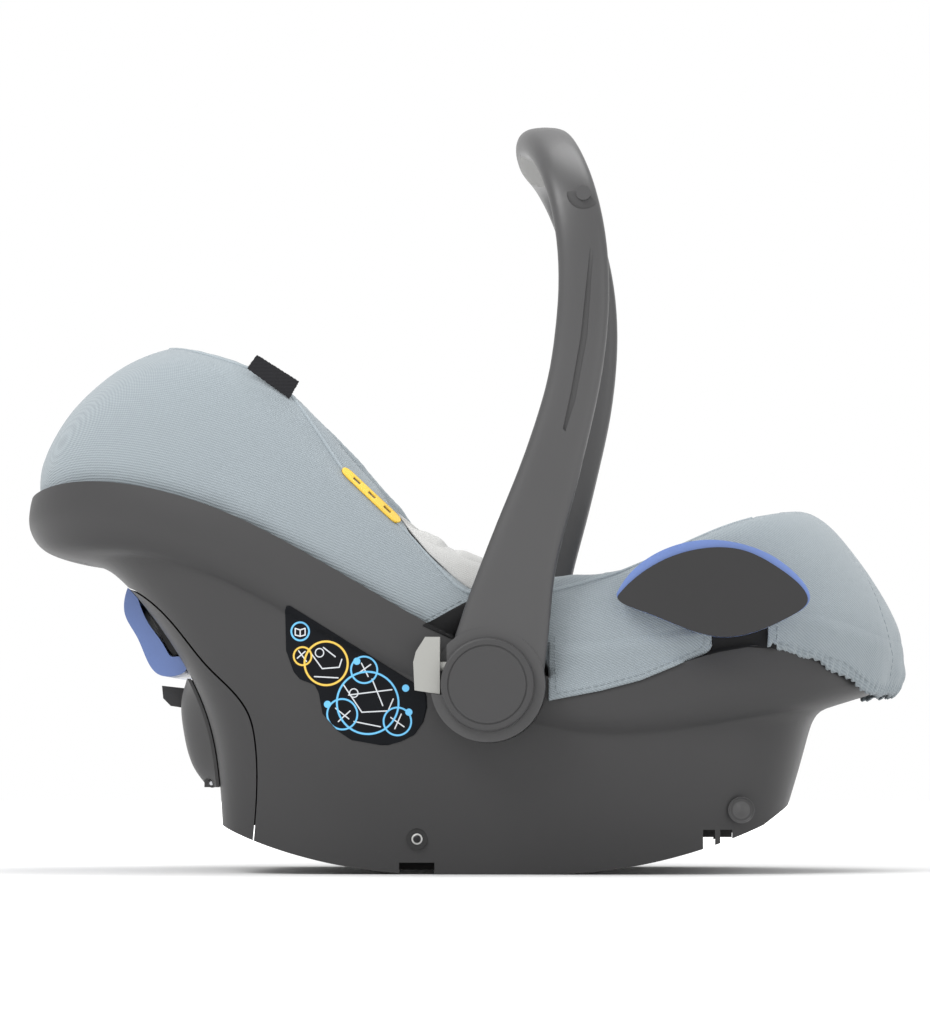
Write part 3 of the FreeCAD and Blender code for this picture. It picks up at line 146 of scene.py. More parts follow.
class Finish:
    """One material, built node by node around a Principled shader."""

    def __init__(self, name, **constants):
        self.material = bpy.data.materials.new(name)
        self.material.use_nodes = True
        self.tree = self.material.node_tree
        self.tree.nodes.clear()
        output = self.tree.nodes.new("ShaderNodeOutputMaterial")
        self.shader = self.tree.nodes.new("ShaderNodeBsdfPrincipled")
        self.tree.links.new(self.shader.outputs[0], output.inputs["Surface"])
        for socket, value in constants.items():
            self.shader.inputs[socket.replace("_", " ")].default_value = value
        place = self.node("ShaderNodeTexCoord", {}, [])
        self.place = place.outputs["Object"]
        split = self.node("ShaderNodeSeparateXYZ", {}, [self.place])
        self.x, self.y, self.z = [Value(self, socket) for socket in split.outputs]
        self.heights = None

    def node(self, kind, settings, values):
        made = self.tree.nodes.new(kind)
        for key, setting in settings.items():
            setattr(made, key, setting)
        sockets = [socket for socket in made.inputs if socket.enabled]
        for socket, value in zip(sockets, values):
            self.feed(socket, value)
        return made

    def feed(self, socket, value):
        if isinstance(value, Value):
            self.tree.links.new(value.socket, socket)
        elif isinstance(value, bpy.types.NodeSocket):
            self.tree.links.new(value, socket)
        elif value is not None:
            socket.default_value = value

    def noise(self, size, detail=2.0, roughness=0.5):
        """Smooth noise from 0 to 1, with patches of about a size in metres."""
        made = self.node("ShaderNodeTexNoise", {}, [self.place, 1 / size, detail, roughness])
        return Value(self, made.outputs["Fac"])

    def wave(self, direction, pitch):
        """Ribs across a direction, from -1 to 1."""
        scale = 2 * math.pi / pitch
        return (self.x * (direction[0] * scale) + self.y * (direction[1] * scale)
                + self.z * (direction[2] * scale)).sine()

    def mix(self, share, first, second):
        """Colour between two colours."""
        settings = {"data_type": "RGBA", "clamp_factor": True}
        made = self.node("ShaderNodeMix", settings, [share, solid(first), solid(second)])
        return made.outputs[2]

    def colour(self, value):
        self.feed(self.shader.inputs["Base Color"], solid(value))

    def roughness(self, value):
        self.feed(self.shader.inputs["Roughness"], value)

    def relief(self, height, depth):
        """Bump of a height from 0 to 1 and a real depth; later ones lie on the earlier ones."""
        made = self.node("ShaderNodeBump", {}, [])
        self.feed(made.inputs["Height"], height)
        made.inputs["Distance"].default_value = depth
        made.inputs["Strength"].default_value = 1.0
        if self.heights is not None:
            self.tree.links.new(self.heights, made.inputs["Normal"])
        self.heights = made.outputs["Normal"]
        self.feed(self.shader.inputs["Normal"], self.heights)


def solid(colour):
    """A colour tuple with its alpha; sockets pass through."""
    if isinstance(colour, tuple):
        return (*colour, 1.0) if len(colour) == 3 else colour
    return colour


def shade(colour, factor):
    return tuple(channel * factor for channel in colour)


# ---- finishes ----
def moulded_plastic(name, colour, roughness, grain=0.0007, depth=0.00003, shine=0.30):
    """Moulded plastic: fine spark grain, slight cloudiness, scuffs where it stands."""
    made = Finish(name, Specular_IOR_Level=shine)
    cloud = made.noise(0.09, 3.0)
    speck = made.noise(grain, 2.0, 0.6)
    scuff = made.noise(0.004, 4.0, 0.7).soft_step(0.62, 0.78) * (1 - made.z.soft_step(0.002, 0.03))
    body = made.mix(cloud, shade(colour, 0.93), shade(colour, 1.07))
    made.colour(made.mix(scuff * 0.5, body, shade(colour, 2.0)))
    made.roughness(speck * 0.08 + cloud * 0.06 + (roughness - 0.07) + scuff * 0.12)
    made.relief(speck, depth)
    return made


def bright_steel(name):
    """Zinc plated steel with drawn lines along its length."""
    made = Finish(name, Metallic=1.0)
    lines = made.wave((0.3, 1.0, 0.2), 0.0006) * 0.5 + 0.5
    cloud = made.noise(0.006, 3.0)
    made.colour(made.mix(cloud, (0.42, 0.43, 0.45), (0.62, 0.63, 0.65)))
    made.roughness(cloud * 0.15 + lines * 0.06 + 0.22)
    made.relief(lines, 0.00001)
    return made


def distance_from(made, centre):
    """Distance from a line along Y through an x and a z."""
    dx = made.x - centre[0]
    dz = made.z - centre[1]
    return (dx * dx + dz * dz).math("SQRT")


def bar_end(name):
    """Steel bar end: a painted highlight ring round a dark dished centre."""
    made = Finish(name, Metallic=1.0)
    far = distance_from(made, REAR_BAR)
    # bright ring: painted highlight round the dished end
    ring = far.soft_step(0.0028, 0.0032) * (1 - far.soft_step(0.0040, 0.0044))
    cloud = made.noise(0.002, 3.0)
    centre = made.mix(cloud, (0.020, 0.020, 0.021), (0.050, 0.050, 0.052))
    made.colour(made.mix(ring, centre, (0.46, 0.46, 0.45)))
    made.roughness(cloud * 0.15 + 0.32)
    made.relief(1 - far.soft_step(0.0010, 0.0040), 0.0008)
    return made


def domed_cap(name, colour):
    """Round end cap: a raised rim, a groove painted darker as painted shade, and a low dome."""
    made = Finish(name, Specular_IOR_Level=0.5)
    far = distance_from(made, FRONT_BAR)
    painted_groove_shade = far.soft_step(0.0062, 0.0070) * (1 - far.soft_step(0.0078, 0.0086))
    cloud = made.noise(0.004, 3.0)
    face = made.mix(cloud, shade(colour, 0.95), shade(colour, 1.12))
    # the groove is darkened towards black: painted shade in the groove
    made.colour(made.mix(painted_groove_shade * 0.8, face, shade(colour, 0.35)))
    made.roughness(cloud * 0.1 + 0.34)
    made.relief((1 - far.soft_step(0.0, 0.0070)) + far.soft_step(0.0080, 0.0100), 0.0014)
    return made


def ribbed_cloth(name, colour, pitch, depth, warp, weft):
    """Ribbed cloth: fine cords one way, crossing threads the other way, and a soft nap."""
    made = Finish(name, Sheen_Weight=0.22, Sheen_Roughness=0.45, Specular_IOR_Level=0.2)
    wander = made.noise(0.014, 2.0)
    cords = made.wave(warp, pitch) * 0.5 + 0.5
    cross = made.wave(weft, pitch * 0.62) * 0.5 + 0.5
    fuzz = made.noise(0.0011, 3.0, 0.7)
    patch = made.noise(0.07, 3.0)
    weave = cords * 0.62 + cross * 0.38
    thread = made.mix(weave * 0.75 + fuzz * 0.25, shade(colour, 0.66), shade(colour, 1.26))
    made.colour(made.mix(patch * 0.3 + wander * 0.15, thread, shade(colour, 0.97)))
    made.roughness(fuzz * 0.12 + 0.80)
    made.relief(patch, 0.0009)
    made.relief(weave, depth)
    made.relief(fuzz, depth * 0.5)
    return made


def soft_jersey(name, colour):
    """Soft knitted cloth of the inlay and the pads: tiny loops in rows."""
    made = Finish(name, Sheen_Weight=0.35, Sheen_Roughness=0.5, Specular_IOR_Level=0.18)
    rows = made.wave((0.35, 0.35, 0.86), 0.0015) * 0.5 + 0.5
    loops = made.wave((0.80, 0.80, -0.30), 0.0013) * 0.5 + 0.5
    fuzz = made.noise(0.0016, 3.0, 0.7)
    dents = made.noise(0.035, 3.0)
    knit = rows * loops
    made.colour(made.mix(knit * 0.6 + fuzz * 0.4, shade(colour, 0.88), shade(colour, 1.08)))
    made.roughness(fuzz * 0.1 + 0.84)
    made.relief(dents, 0.0012)
    made.relief(knit, 0.00016)
    made.relief(fuzz, 0.0001)
    return made


def webbing(name, colour):
    """Belt webbing: chevron rows of tight threads."""
    made = Finish(name, Specular_IOR_Level=0.3, Sheen_Weight=0.1)
    along = made.x * 0.6 + made.z * 0.8
    across = made.y.size()
    chevron = (along * 2600.0 + (across * 1500.0).sine() * 1.6).sine() * 0.5 + 0.5
    rows = (across * 3400.0).sine() * 0.5 + 0.5
    made.colour(made.mix(chevron * 0.6 + rows * 0.4, shade(colour, 0.7), shade(colour, 1.6)))
    made.roughness(chevron * 0.2 + 0.55)
    made.relief(chevron * 0.6 + rows * 0.4, 0.00025)
    return made


def blue_guide(name):
    """Satin blue plastic of the belt guides, a little worn where the belt runs."""
    made = Finish(name, Specular_IOR_Level=0.5, Coat_Roughness=0.2)
    cloud = made.noise(0.05, 3.0)
    rubbed = made.noise(0.003, 4.0, 0.7).soft_step(0.60, 0.75)
    body = made.mix(cloud, shade(BELT_BLUE, 0.93), shade(BELT_BLUE, 1.10))
    made.colour(made.mix(rubbed * 0.18, body, shade(BELT_BLUE, 1.7)))
    made.roughness(cloud * 0.08 + rubbed * 0.12 + 0.27)
    made.feed(made.shader.inputs["Coat Weight"], cloud * 0.2 + 0.2)
    made.relief(made.noise(0.0012, 2.0), 0.00002)
    return made


def disc(made, centre, radius, soft=0.00025):
    """1 inside a circle on the side of the shell, seen along Y."""
    return 1 - distance_from(made, centre).soft_step(radius - soft, radius + soft)


def hoop(made, centre, radius, width):
    """1 on a ring on the side of the shell, seen along Y."""
    far = (distance_from(made, centre) - radius).size()
    return 1 - far.soft_step(width * 0.3, width * 0.7)


def stroke(made, start, end, width):
    """1 along a short line on the side of the shell."""
    run = (end[0] - start[0], end[1] - start[1])
    square = run[0] ** 2 + run[1] ** 2
    dx = made.x - start[0]
    dz = made.z - start[1]
    share = ((dx * run[0] + dz * run[1]) / square).least(1.0).most(0.0)
    ex = dx - share * run[0]
    ez = dz - share * run[1]
    far = (ex * ex + ez * ez).math("SQRT")
    return 1 - far.soft_step(width * 0.35, width * 0.65)


def instruction_print(name):
    """Black label with rings, small markers and simple line drawings, without words."""
    made = Finish(name, Specular_IOR_Level=0.06)
    fields = [((-0.1167, 0.1842), 0.0068, 0.0013, "blue"), ((-0.1150, 0.1655), 0.0068, 0.0013, "yellow"),
              ((-0.0970, 0.1600), 0.0165, 0.0015, "yellow"), ((-0.0680, 0.1550), 0.0100, 0.0013, "blue"),
              ((-0.0655, 0.1300), 0.0235, 0.0014, "blue"), ((-0.0850, 0.1215), 0.0115, 0.0013, "blue"),
              ((-0.0430, 0.1160), 0.0105, 0.0013, "blue")]
    markers = [(-0.0735, 0.1615), (-0.0365, 0.1411), (-0.0962, 0.1290), (-0.0342, 0.1230)]
    lines = [((-0.1205, 0.1865), (-0.1205, 0.1815)), ((-0.1167, 0.1853), (-0.1167, 0.1805)),
             ((-0.1129, 0.1865), (-0.1129, 0.1815)), ((-0.1205, 0.1865), (-0.1167, 0.1853)),
             ((-0.1167, 0.1853), (-0.1129, 0.1865)), ((-0.1205, 0.1815), (-0.1167, 0.1805)),
             ((-0.1167, 0.1805), (-0.1129, 0.1815)),
             ((-0.1180, 0.1695), (-0.1120, 0.1615)), ((-0.1190, 0.1640), (-0.1130, 0.1690)),
             ((-0.1095, 0.1690), (-0.1000, 0.1560)), ((-0.1000, 0.1560), (-0.0870, 0.1570)),
             ((-0.0870, 0.1570), (-0.0850, 0.1630)), ((-0.1060, 0.1500), (-0.0880, 0.1490)),
             ((-0.0990, 0.1720), (-0.0900, 0.1650)), ((-0.0730, 0.1520), (-0.0630, 0.1590)),
             ((-0.0700, 0.1600), (-0.0650, 0.1500)),
             ((-0.0840, 0.1440), (-0.0700, 0.1230)), ((-0.0700, 0.1230), (-0.0500, 0.1240)),
             ((-0.0500, 0.1240), (-0.0460, 0.1330)), ((-0.0800, 0.1360), (-0.0470, 0.1400)),
             ((-0.0760, 0.1160), (-0.0560, 0.1120)), ((-0.0620, 0.1480), (-0.0540, 0.1280)),
             ((-0.0900, 0.1260), (-0.0800, 0.1180)), ((-0.0880, 0.1160), (-0.0790, 0.1240)),
             ((-0.0480, 0.1190), (-0.0380, 0.1120)), ((-0.0450, 0.1105), (-0.0400, 0.1215))]
    blue = None
    yellow = None
    for centre, radius, width, tint in fields:
        ring = hoop(made, centre, radius, width)
        if tint == "blue":
            blue = ring if blue is None else blue.most(ring)
        else:
            yellow = ring if yellow is None else yellow.most(ring)
    for marker in markers:
        blue = blue.most(disc(made, marker, 0.0027))
    white = None
    for start, end in lines:
        mark = stroke(made, start, end, 0.0009)
        white = mark if white is None else white.most(mark)
    for head in ((-0.1020, 0.1680), (-0.0760, 0.1375)):
        white = white.most(hoop(made, head, 0.0032, 0.0008))
    base = made.mix(made.noise(0.02), (0.006, 0.0065, 0.008), (0.009, 0.010, 0.012))
    base = made.mix(white * 0.85, base, (0.72, 0.75, 0.78))
    base = made.mix(yellow, base, (0.78, 0.52, 0.10))
    made.colour(made.mix(blue, base, (0.16, 0.50, 0.80)))
    made.roughness(made.noise(0.003, 2.0) * 0.08 + 0.36)
    made.relief(made.noise(0.0009, 2.0), 0.00001)
    return made


def paint(node, finish):
    """Gives a CAD node its finish."""
    mesh = frame["nodes"][node].data
    mesh.materials.clear()
    mesh.materials.append(finish.material)


def link(mesh, name):
    piece = bpy.data.objects.new(name, mesh)
    bpy.context.scene.collection.objects.link(piece)
    return piece


def smooth(mesh):
    mesh.polygons.foreach_set("use_smooth", [True] * len(mesh.polygons))
    mesh.update()


def finished_shape(piece):
    """Turns a piece's modifiers into its mesh."""
    graph = bpy.context.evaluated_depsgraph_get()
    mesh = bpy.data.meshes.new_from_object(piece.evaluated_get(graph))
    piece.modifiers.clear()
    piece.data = mesh
    return piece


def dress(piece, finish, body, slot, *nodes):
    """Material, body and the CAD nodes that a finished piece stands for; slot is not used."""
    piece.data.materials.clear()
    piece.data.materials.append(finish.material)
    smooth(piece.data)
    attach(piece, body)
    if nodes:
        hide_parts(*nodes)
    return piece


# ---- soft pieces ----
def soft_blank(node, name, voxel, shrink=0.0):
    """A welded copy of a CAD soft solid with an even mesh, pulled in a little to leave room to swell."""
    work = bmesh.new()
    work.from_mesh(frame["nodes"][node].data)
    bmesh.ops.remove_doubles(work, verts=work.verts, dist=WELD)
    bmesh.ops.recalc_face_normals(work, faces=work.faces)
    mesh = bpy.data.meshes.new(name)
    work.to_mesh(mesh)
    work.free()
    piece = link(mesh, name)
    remesh = piece.modifiers.new("even", "REMESH")
    remesh.mode = "VOXEL"
    remesh.voxel_size = voxel
    finished_shape(piece)
    if shrink:
        move_points(piece, lambda place, normal: place - normal * shrink)
    return piece


def move_points(piece, change):
    """Moves each point of a mesh by a rule of its place and its normal."""
    mesh = piece.data
    moved = [change(vertex.co.copy(), vertex.normal.copy()) for vertex in mesh.vertices]
    for vertex, place in zip(mesh.vertices, moved):
        vertex.co = place
    mesh.update()


def swell(piece, pressure, cap, frames):
    """Blows a padded piece up by cloth simulation, and keeps every point within a cap of its place."""
    before = [vertex.co.copy() for vertex in piece.data.vertices]
    cloth = piece.modifiers.new("swell", "CLOTH")
    cloth.settings.quality = 4
    cloth.settings.mass = 0.3
    cloth.settings.tension_stiffness = 20
    cloth.settings.compression_stiffness = 20
    cloth.settings.bending_stiffness = 0.4
    cloth.settings.use_pressure = True
    cloth.settings.uniform_pressure_force = pressure
    cloth.settings.effector_weights.gravity = 0.0
    cloth.collision_settings.use_collision = False
    cloth.collision_settings.use_self_collision = False
    cloth.point_cache.frame_start = 1
    cloth.point_cache.frame_end = frames
    for step in range(1, frames + 1):
        bpy.context.scene.frame_set(step)
    finished_shape(piece)
    bpy.context.scene.frame_set(1)
    for vertex, old in zip(piece.data.vertices, before):
        step = vertex.co - old
        if step.length > cap:
            vertex.co = old + step.normalized() * cap
    return piece


def ease(piece, rounds, strength=0.5):
    """Irons out the steps of the even mesh."""
    work = bmesh.new()
    work.from_mesh(piece.data)
    for _ in range(rounds):
        bmesh.ops.smooth_vert(work, verts=work.verts, factor=strength, use_axis_x=True, use_axis_y=True,
                              use_axis_z=True)
    work.to_mesh(piece.data)
    work.free()
    return piece


def bump(value, width):
    """A smooth hump of height 1 round zero."""
    return math.exp(-(value / width) ** 2)


def ramp(value, low, high):
    share = min(1.0, max(0.0, (value - low) / (high - low)))
    return share * share * (3 - 2 * share)


def between(line, at):
    """Value of a line of (place, value) pairs at a place."""
    if at <= line[0][0]:
        return line[0][1]
    for (start, low), (end, high) in zip(line, line[1:]):
        if at <= end:
            return low + (high - low) * (at - start) / (end - start)
    return line[-1][1]


# Crest of the CAD cover on each side of the hub, and where its hem pulls it down to: x, z.
FULL_TOP = [(-0.090, 0.334), (-0.070, 0.311), (-0.060, 0.299), (-0.050, 0.290), (-0.040, 0.281),
            (-0.030, 0.272), (-0.020, 0.265), (-0.010, 0.260), (0.000, 0.254), (0.012, 0.249),
            (0.030, 0.241), (0.050, 0.235), (0.070, 0.231), (0.090, 0.228)]
RIM_TOP = [(-0.090, 0.334), (-0.070, 0.311), (-0.060, 0.299), (-0.050, 0.286), (-0.040, 0.274),
           (-0.030, 0.261), (-0.020, 0.250), (-0.010, 0.240), (0.000, 0.231), (0.012, 0.222),
           (0.030, 0.218), (0.050, 0.221), (0.070, 0.226), (0.090, 0.228)]
RIM_FOOT = 0.192            # below this the cover keeps its place
RIM_DEPTH = 0.075           # and so it does this far below the crest
RIM_ENDS = (-0.09, 0.09)


def pulled_down(place, normal):
    """Between head and hub the cover is pulled down over the rim by its hem."""
    foot = max(RIM_FOOT, between(RIM_TOP, place.x) - RIM_DEPTH)
    if place.z <= foot or not RIM_ENDS[0] < place.x < RIM_ENDS[1]:
        return place
    share = (between(RIM_TOP, place.x) - foot) / (between(FULL_TOP, place.x) - foot)
    return Vector((place.x, place.y, foot + (place.z - foot) * share))


def cover_drape(place, normal):
    """Soft folds of the cover: long dents on the head end, pulls at the foot's gathers and at the hub."""
    x, y, z = place
    side = abs(y)
    dent = noise.noise(Vector((x * 9, y * 7, z * 9 + 3))) * 0.0016
    dent += noise.noise(Vector((x * 26 + 5, y * 20, z * 26))) * 0.0005
    crease = bump((z - 0.338) + (x + 0.118) * 0.9, 0.010) * ramp(side, 0.11, 0.16) * ramp(x, -0.17, -0.11)
    dent -= crease * 0.0022
    foot = ramp(x, 0.235, 0.27) * ramp(0.205 - z, 0.0, 0.05)
    pull = math.sin(side * 210 + x * 330 + z * 60)
    dent += foot * pull * 0.0016
    dimple = bump(x - 0.300, 0.010) * bump(z - 0.172, 0.008) * ramp(side, 0.12, 0.15)
    dimple += bump(x - 0.277, 0.008) * bump(z - 0.180, 0.007) * ramp(side, 0.12, 0.15)
    dent -= dimple * 0.0050
    hub = math.hypot(x - HUB[0], z - HUB[1])
    dent += bump(hub - 0.056, 0.006) * ramp(side, 0.15, 0.17) * 0.0012
    return place + normal * dent


def padded_cover():
    """The quilted cover of the whole seat, from the lip of the shell over the rim into the seat."""
    piece = soft_blank("seat_cover", "padded_cover", COVER_VOXEL, 0.0004)
    swell(piece, 3.0, 0.0022, 12)
    ease(piece, 2)
    move_points(piece, pulled_down)
    move_points(piece, cover_drape)
    dress(piece, cover_cloth, "shell", "cover_fabric", "seat_cover")
    return piece


CHANNEL_WIDTH = 0.0035


def inlay_quilting(place, normal):
    """Sewn channels of the inlay: one along each side, and short ones across the back."""
    x, y, z = place
    channel = bump(abs(y) - 0.064, CHANNEL_WIDTH)
    inside = ramp(0.060 - abs(y), 0.0, 0.01) * ramp(-x, -0.02, 0.0)
    for row in range(5):
        channel = max(channel, bump(z - 0.190 - row * 0.030, CHANNEL_WIDTH) * inside)
    soft = noise.noise(Vector((x * 16, y * 16, z * 16))) * 0.0008
    return place + normal * (soft - channel * 0.0036)


def newborn_inlay():
    piece = soft_blank("seat_inlay", "newborn_inlay", INLAY_VOXEL, 0.0008)
    swell(piece, 4.0, 0.0040, 14)
    ease(piece, 1)
    move_points(piece, inlay_quilting)
    dress(piece, inlay_cloth, "shell", "inlay_fabric", "seat_inlay")
    return piece


def tub_crest(tub, side, x):
    """Height of the tub's rim at an x, seen from above."""
    down = Vector((0, 0, -1))
    return max(tub.ray_cast(Vector((x, side * y * MM, 0.5)), down)[0].z for y in range(150, 171, 2))


def inlay_wing(tub, side, hand):
    """Soft lobes of the inlay that are folded over the rim beside the child's hip."""
    path = []
    thick = []
    for i in range(WING_STEPS + 1):
        x = WING_SPAN[0] + (WING_SPAN[1] - WING_SPAN[0]) * i / WING_STEPS
        share = i / (WING_STEPS / 2) - 1
        crest = tub_crest(tub, side, x)
        path.append(Vector((x, side * WING_SIDE, crest - WING_DROP)))
        waist = bump(x + 0.010, 0.006) * 0.20
        thick.append(max(0.12, math.sqrt(max(0.0, 1 - share ** 4)) - waist))
    piece = tube("inlay_wing_" + hand, path, WING_RADIUS, thick=thick)

    def soft_lobe(place, normal):
        flat = Vector((place.x, side * WING_SIDE + (place.y - side * WING_SIDE) * WING_FLATNESS, place.z))
        return flat + normal * noise.noise(place * 45) * 0.0012

    move_points(piece, soft_lobe)
    dress(piece, wing_cloth, "shell", "inlay_fabric")
    return piece


def harness_pad(node, name):
    """Padded sleeve of the harness with a seam round its edge."""
    piece = soft_blank(node, name, PAD_VOXEL, 0.0010)
    swell(piece, 4.0, 0.0030, 12)
    ease(piece, 1)
    low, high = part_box(node)
    middle = (low.y + high.y) / 2
    half = (high.y - low.y) / 2

    def edge_seam(place, normal):
        return place - normal * bump(abs(place.y - middle) - half * 0.80, 0.0022) * 0.0016

    move_points(piece, edge_seam)
    dress(piece, pad_cloth, "shell", "pad_fabric", node)
    return piece


def harness_strap(node, name):
    """Webbing, worked from its own flat band."""
    work = bmesh.new()
    work.from_mesh(frame["nodes"][node].data)
    bmesh.ops.remove_doubles(work, verts=work.verts, dist=WELD)
    bmesh.ops.triangulate(work, faces=work.faces)
    bmesh.ops.recalc_face_normals(work, faces=work.faces)
    mesh = bpy.data.meshes.new(name)
    work.to_mesh(mesh)
    work.free()
    return dress(link(mesh, name), strap_webbing, "shell", "webbing", node)


# ---- sewn details laid on the cover ----
def tree_of(piece):
    mesh = piece.data
    return BVHTree.FromPolygons([vertex.co for vertex in mesh.vertices],
                                [polygon.vertices for polygon in mesh.polygons])


def onto_side(tree, side, x, z):
    """Point of a surface that is seen from one side at an x and a z."""
    hit = tree.ray_cast(Vector((x, side * 0.5, z)), Vector((0, -side, 0)))
    return (hit[0], hit[1]) if hit[0] is not None else (None, None)


def tube(name, path, radius, thick=None):
    """Round cord along a path, as a mesh. thick gives its share of the radius at each point."""
    curve = bpy.data.curves.new(name, "CURVE")
    curve.dimensions = "3D"
    curve.bevel_depth = radius
    curve.bevel_resolution = 2 if thick is None else 8
    curve.use_fill_caps = True
    spline = curve.splines.new("POLY")
    spline.points.add(len(path) - 1)
    for point, place in zip(spline.points, path):
        point.co = (*place, 1.0)
    for point, share in zip(spline.points, thick or []):
        point.radius = share
    rough = bpy.data.objects.new(name + "_line", curve)
    bpy.context.scene.collection.objects.link(rough)
    mesh = bpy.data.meshes.new_from_object(rough.evaluated_get(bpy.context.evaluated_depsgraph_get()))
    bpy.data.objects.remove(rough)
    return link(mesh, name)


def densely(points, step):
    """Evenly spaced places along a line through points."""
    places = []
    for start, end in zip(points, points[1:]):
        run = (Vector(end) - Vector(start))
        count = max(1, int(run.length / step))
        places += [Vector(start) + run * (i / count) for i in range(count)]
    return places + [Vector(points[-1])]


def stitch_row(name, tree, side, points):
    """Sewing thread in even stitches along a line on one side of the cover."""
    work = bmesh.new()
    places = densely([(x, 0, z) for x, z in points], STITCH + STITCH_GAP)
    for place, after in zip(places, places[1:]):
        end = place + (after - place) * (STITCH / (STITCH + STITCH_GAP))
        first, normal = onto_side(tree, side, place.x, place.z)
        last, other = onto_side(tree, side, end.x, end.z)
        if first is None or last is None or (last - first).length > 3 * STITCH:
            continue
        along = last - first
        turn = along.to_track_quat("Z", "Y").to_matrix().to_4x4()
        middle = (first + last) / 2 + Vector((0, side * THREAD_RADIUS * 0.6, 0))
        made = bmesh.ops.create_uvsphere(work, u_segments=6, v_segments=5, radius=1.0)
        size = Vector((THREAD_RADIUS, THREAD_RADIUS, along.length * 0.55))
        bmesh.ops.scale(work, verts=made["verts"], vec=size)
        bmesh.ops.transform(work, matrix=turn, verts=made["verts"])
        bmesh.ops.translate(work, verts=made["verts"], vec=middle)
    mesh = bpy.data.meshes.new(name)
    work.to_mesh(mesh)
    work.free()
    return dress(link(mesh, name), thread, "shell", "cover_fabric")


def joined_tree(*pieces):
    """One search tree over several meshes."""
    places = []
    faces = []
    for piece in pieces:
        first = len(places)
        places += [vertex.co for vertex in piece.data.vertices]
        faces += [[first + index for index in polygon.vertices] for polygon in piece.data.polygons]
    return BVHTree.FromPolygons(places, faces)


def stretched_over(reach, rounds):
    """Pulls a net of distances taut: each is at least what it was, or lies between its neighbours."""
    taut = [list(column) for column in reach]
    for _ in range(rounds):
        for i in range(1, len(taut) - 1):
            for j in range(1, len(taut[i]) - 1):
                mean = (taut[i - 1][j] + taut[i + 1][j] + taut[i][j - 1] + taut[i][j + 1]) / 4
                taut[i][j] = max(reach[i][j], mean)
    return taut


def sheet_mesh(name, grid, thickness, left_out=()):
    """Closed thin sheet over a grid of places, without the cells left out."""
    work = bmesh.new()
    rows = [[work.verts.new(place) for place in column] for column in grid]
    for i, (left, right) in enumerate(zip(rows, rows[1:])):
        for j in range(len(left) - 1):
            if (i, j) not in left_out:
                work.faces.new((left[j], left[j + 1], right[j + 1], right[j]))
    loose = [vertex for vertex in work.verts if not vertex.link_faces]
    bmesh.ops.delete(work, geom=loose, context="VERTS")
    mesh = bpy.data.meshes.new(name)
    work.to_mesh(mesh)
    work.free()
    piece = link(mesh, name)
    wall = piece.modifiers.new("cloth", "SOLIDIFY")
    wall.thickness = thickness
    wall.offset = 0.0
    finished_shape(piece)
    work = bmesh.new()
    work.from_mesh(piece.data)
    bmesh.ops.recalc_face_normals(work, faces=work.faces)
    work.to_mesh(piece.data)
    work.free()
    return piece


def flat_size(grid):
    """Width, length and area of a sheet, from its grid."""
    width = max(sum((b - a).length for a, b in zip(column, column[1:])) for column in grid)
    rows = list(zip(*grid))
    length = max(sum((b - a).length for a, b in zip(row, row[1:])) for row in rows)
    area = 0.0
    for left, right in zip(grid, grid[1:]):
        for j in range(len(left) - 1):
            area += (left[j + 1] - left[j]).cross(right[j] - left[j]).length / 2
            area += (left[j + 1] - right[j + 1]).cross(right[j] - right[j + 1]).length / 2
    return width, length, min(area, width * length)


def cloth_sheet(name, grid, thickness, finish, slot):
    """Sheet of cloth over a grid, with its flat size measured along the grid."""
    piece = sheet_mesh(name, grid, thickness)
    dress(piece, finish, "shell", slot)
    width, length, area = flat_size(grid)
    return piece


RIM_LEAST = 0.1600          # the rim's side is nowhere nearer to the middle plane


def side_net(tree, side, columns, rows, span, top, bottom):
    """Net over one side between two lines: x, z and the distance from the middle plane."""
    places = []
    reach = []
    for i in range(columns + 1):
        x = span[0] + (span[1] - span[0]) * i / columns
        high = between(top, x)
        low = between(bottom, x)
        column = []
        far = []
        for j in range(rows + 1):
            z = high + (low - high) * j / rows
            place = onto_side(tree, side, x, z)[0]
            column.append((x, z))
            far.append(RIM_LEAST if place is None else max(RIM_LEAST, abs(place.y)))
        places.append(column)
        reach.append(far)
    return places, reach


SIDE_HEM = [(0.0700, 0.1310), (0.0740, 0.1319), (0.1110, 0.1390), (0.1410, 0.1470), (0.1700, 0.1590),
            (0.1860, 0.1655), (0.1905, 0.1675), (0.1935, 0.1705), (0.1950, 0.1750)]
SIDE_TOP = [(0.0700, 0.1790), (0.1100, 0.1800), (0.1500, 0.1850), (0.1950, 0.1900)]


def side_flap(tree, side, hand):
    """Flap of the cover that lies over the shell's lip between the hub and the belt hook."""
    places, reach = side_net(tree, side, 84, 26, (0.0720, 0.1945), SIDE_TOP, SIDE_HEM)
    reach = stretched_over(reach, 40)
    grid = []
    for column, far in zip(places, reach):
        line = []
        for j, ((x, z), y) in enumerate(zip(column, far)):
            share = j / (len(column) - 1)
            lift = HIDDEN_EDGE + 0.0026 * ramp(share, 0.0, 0.30)
            hem = 0.0006 * ramp(share, 0.80, 0.86) - 0.0009 * ramp(share, 0.96, 1.0)
            sway = noise.noise(Vector((x * 22, z * 22, side))) * 0.0007 * ramp(share, 0.2, 0.5)
            line.append(Vector((x, side * (y + lift + hem + sway), z)))
        grid.append(line)
    return cloth_sheet("side_flap_" + hand, grid, FLAP_CLOTH, cover_cloth, "cover_fabric")


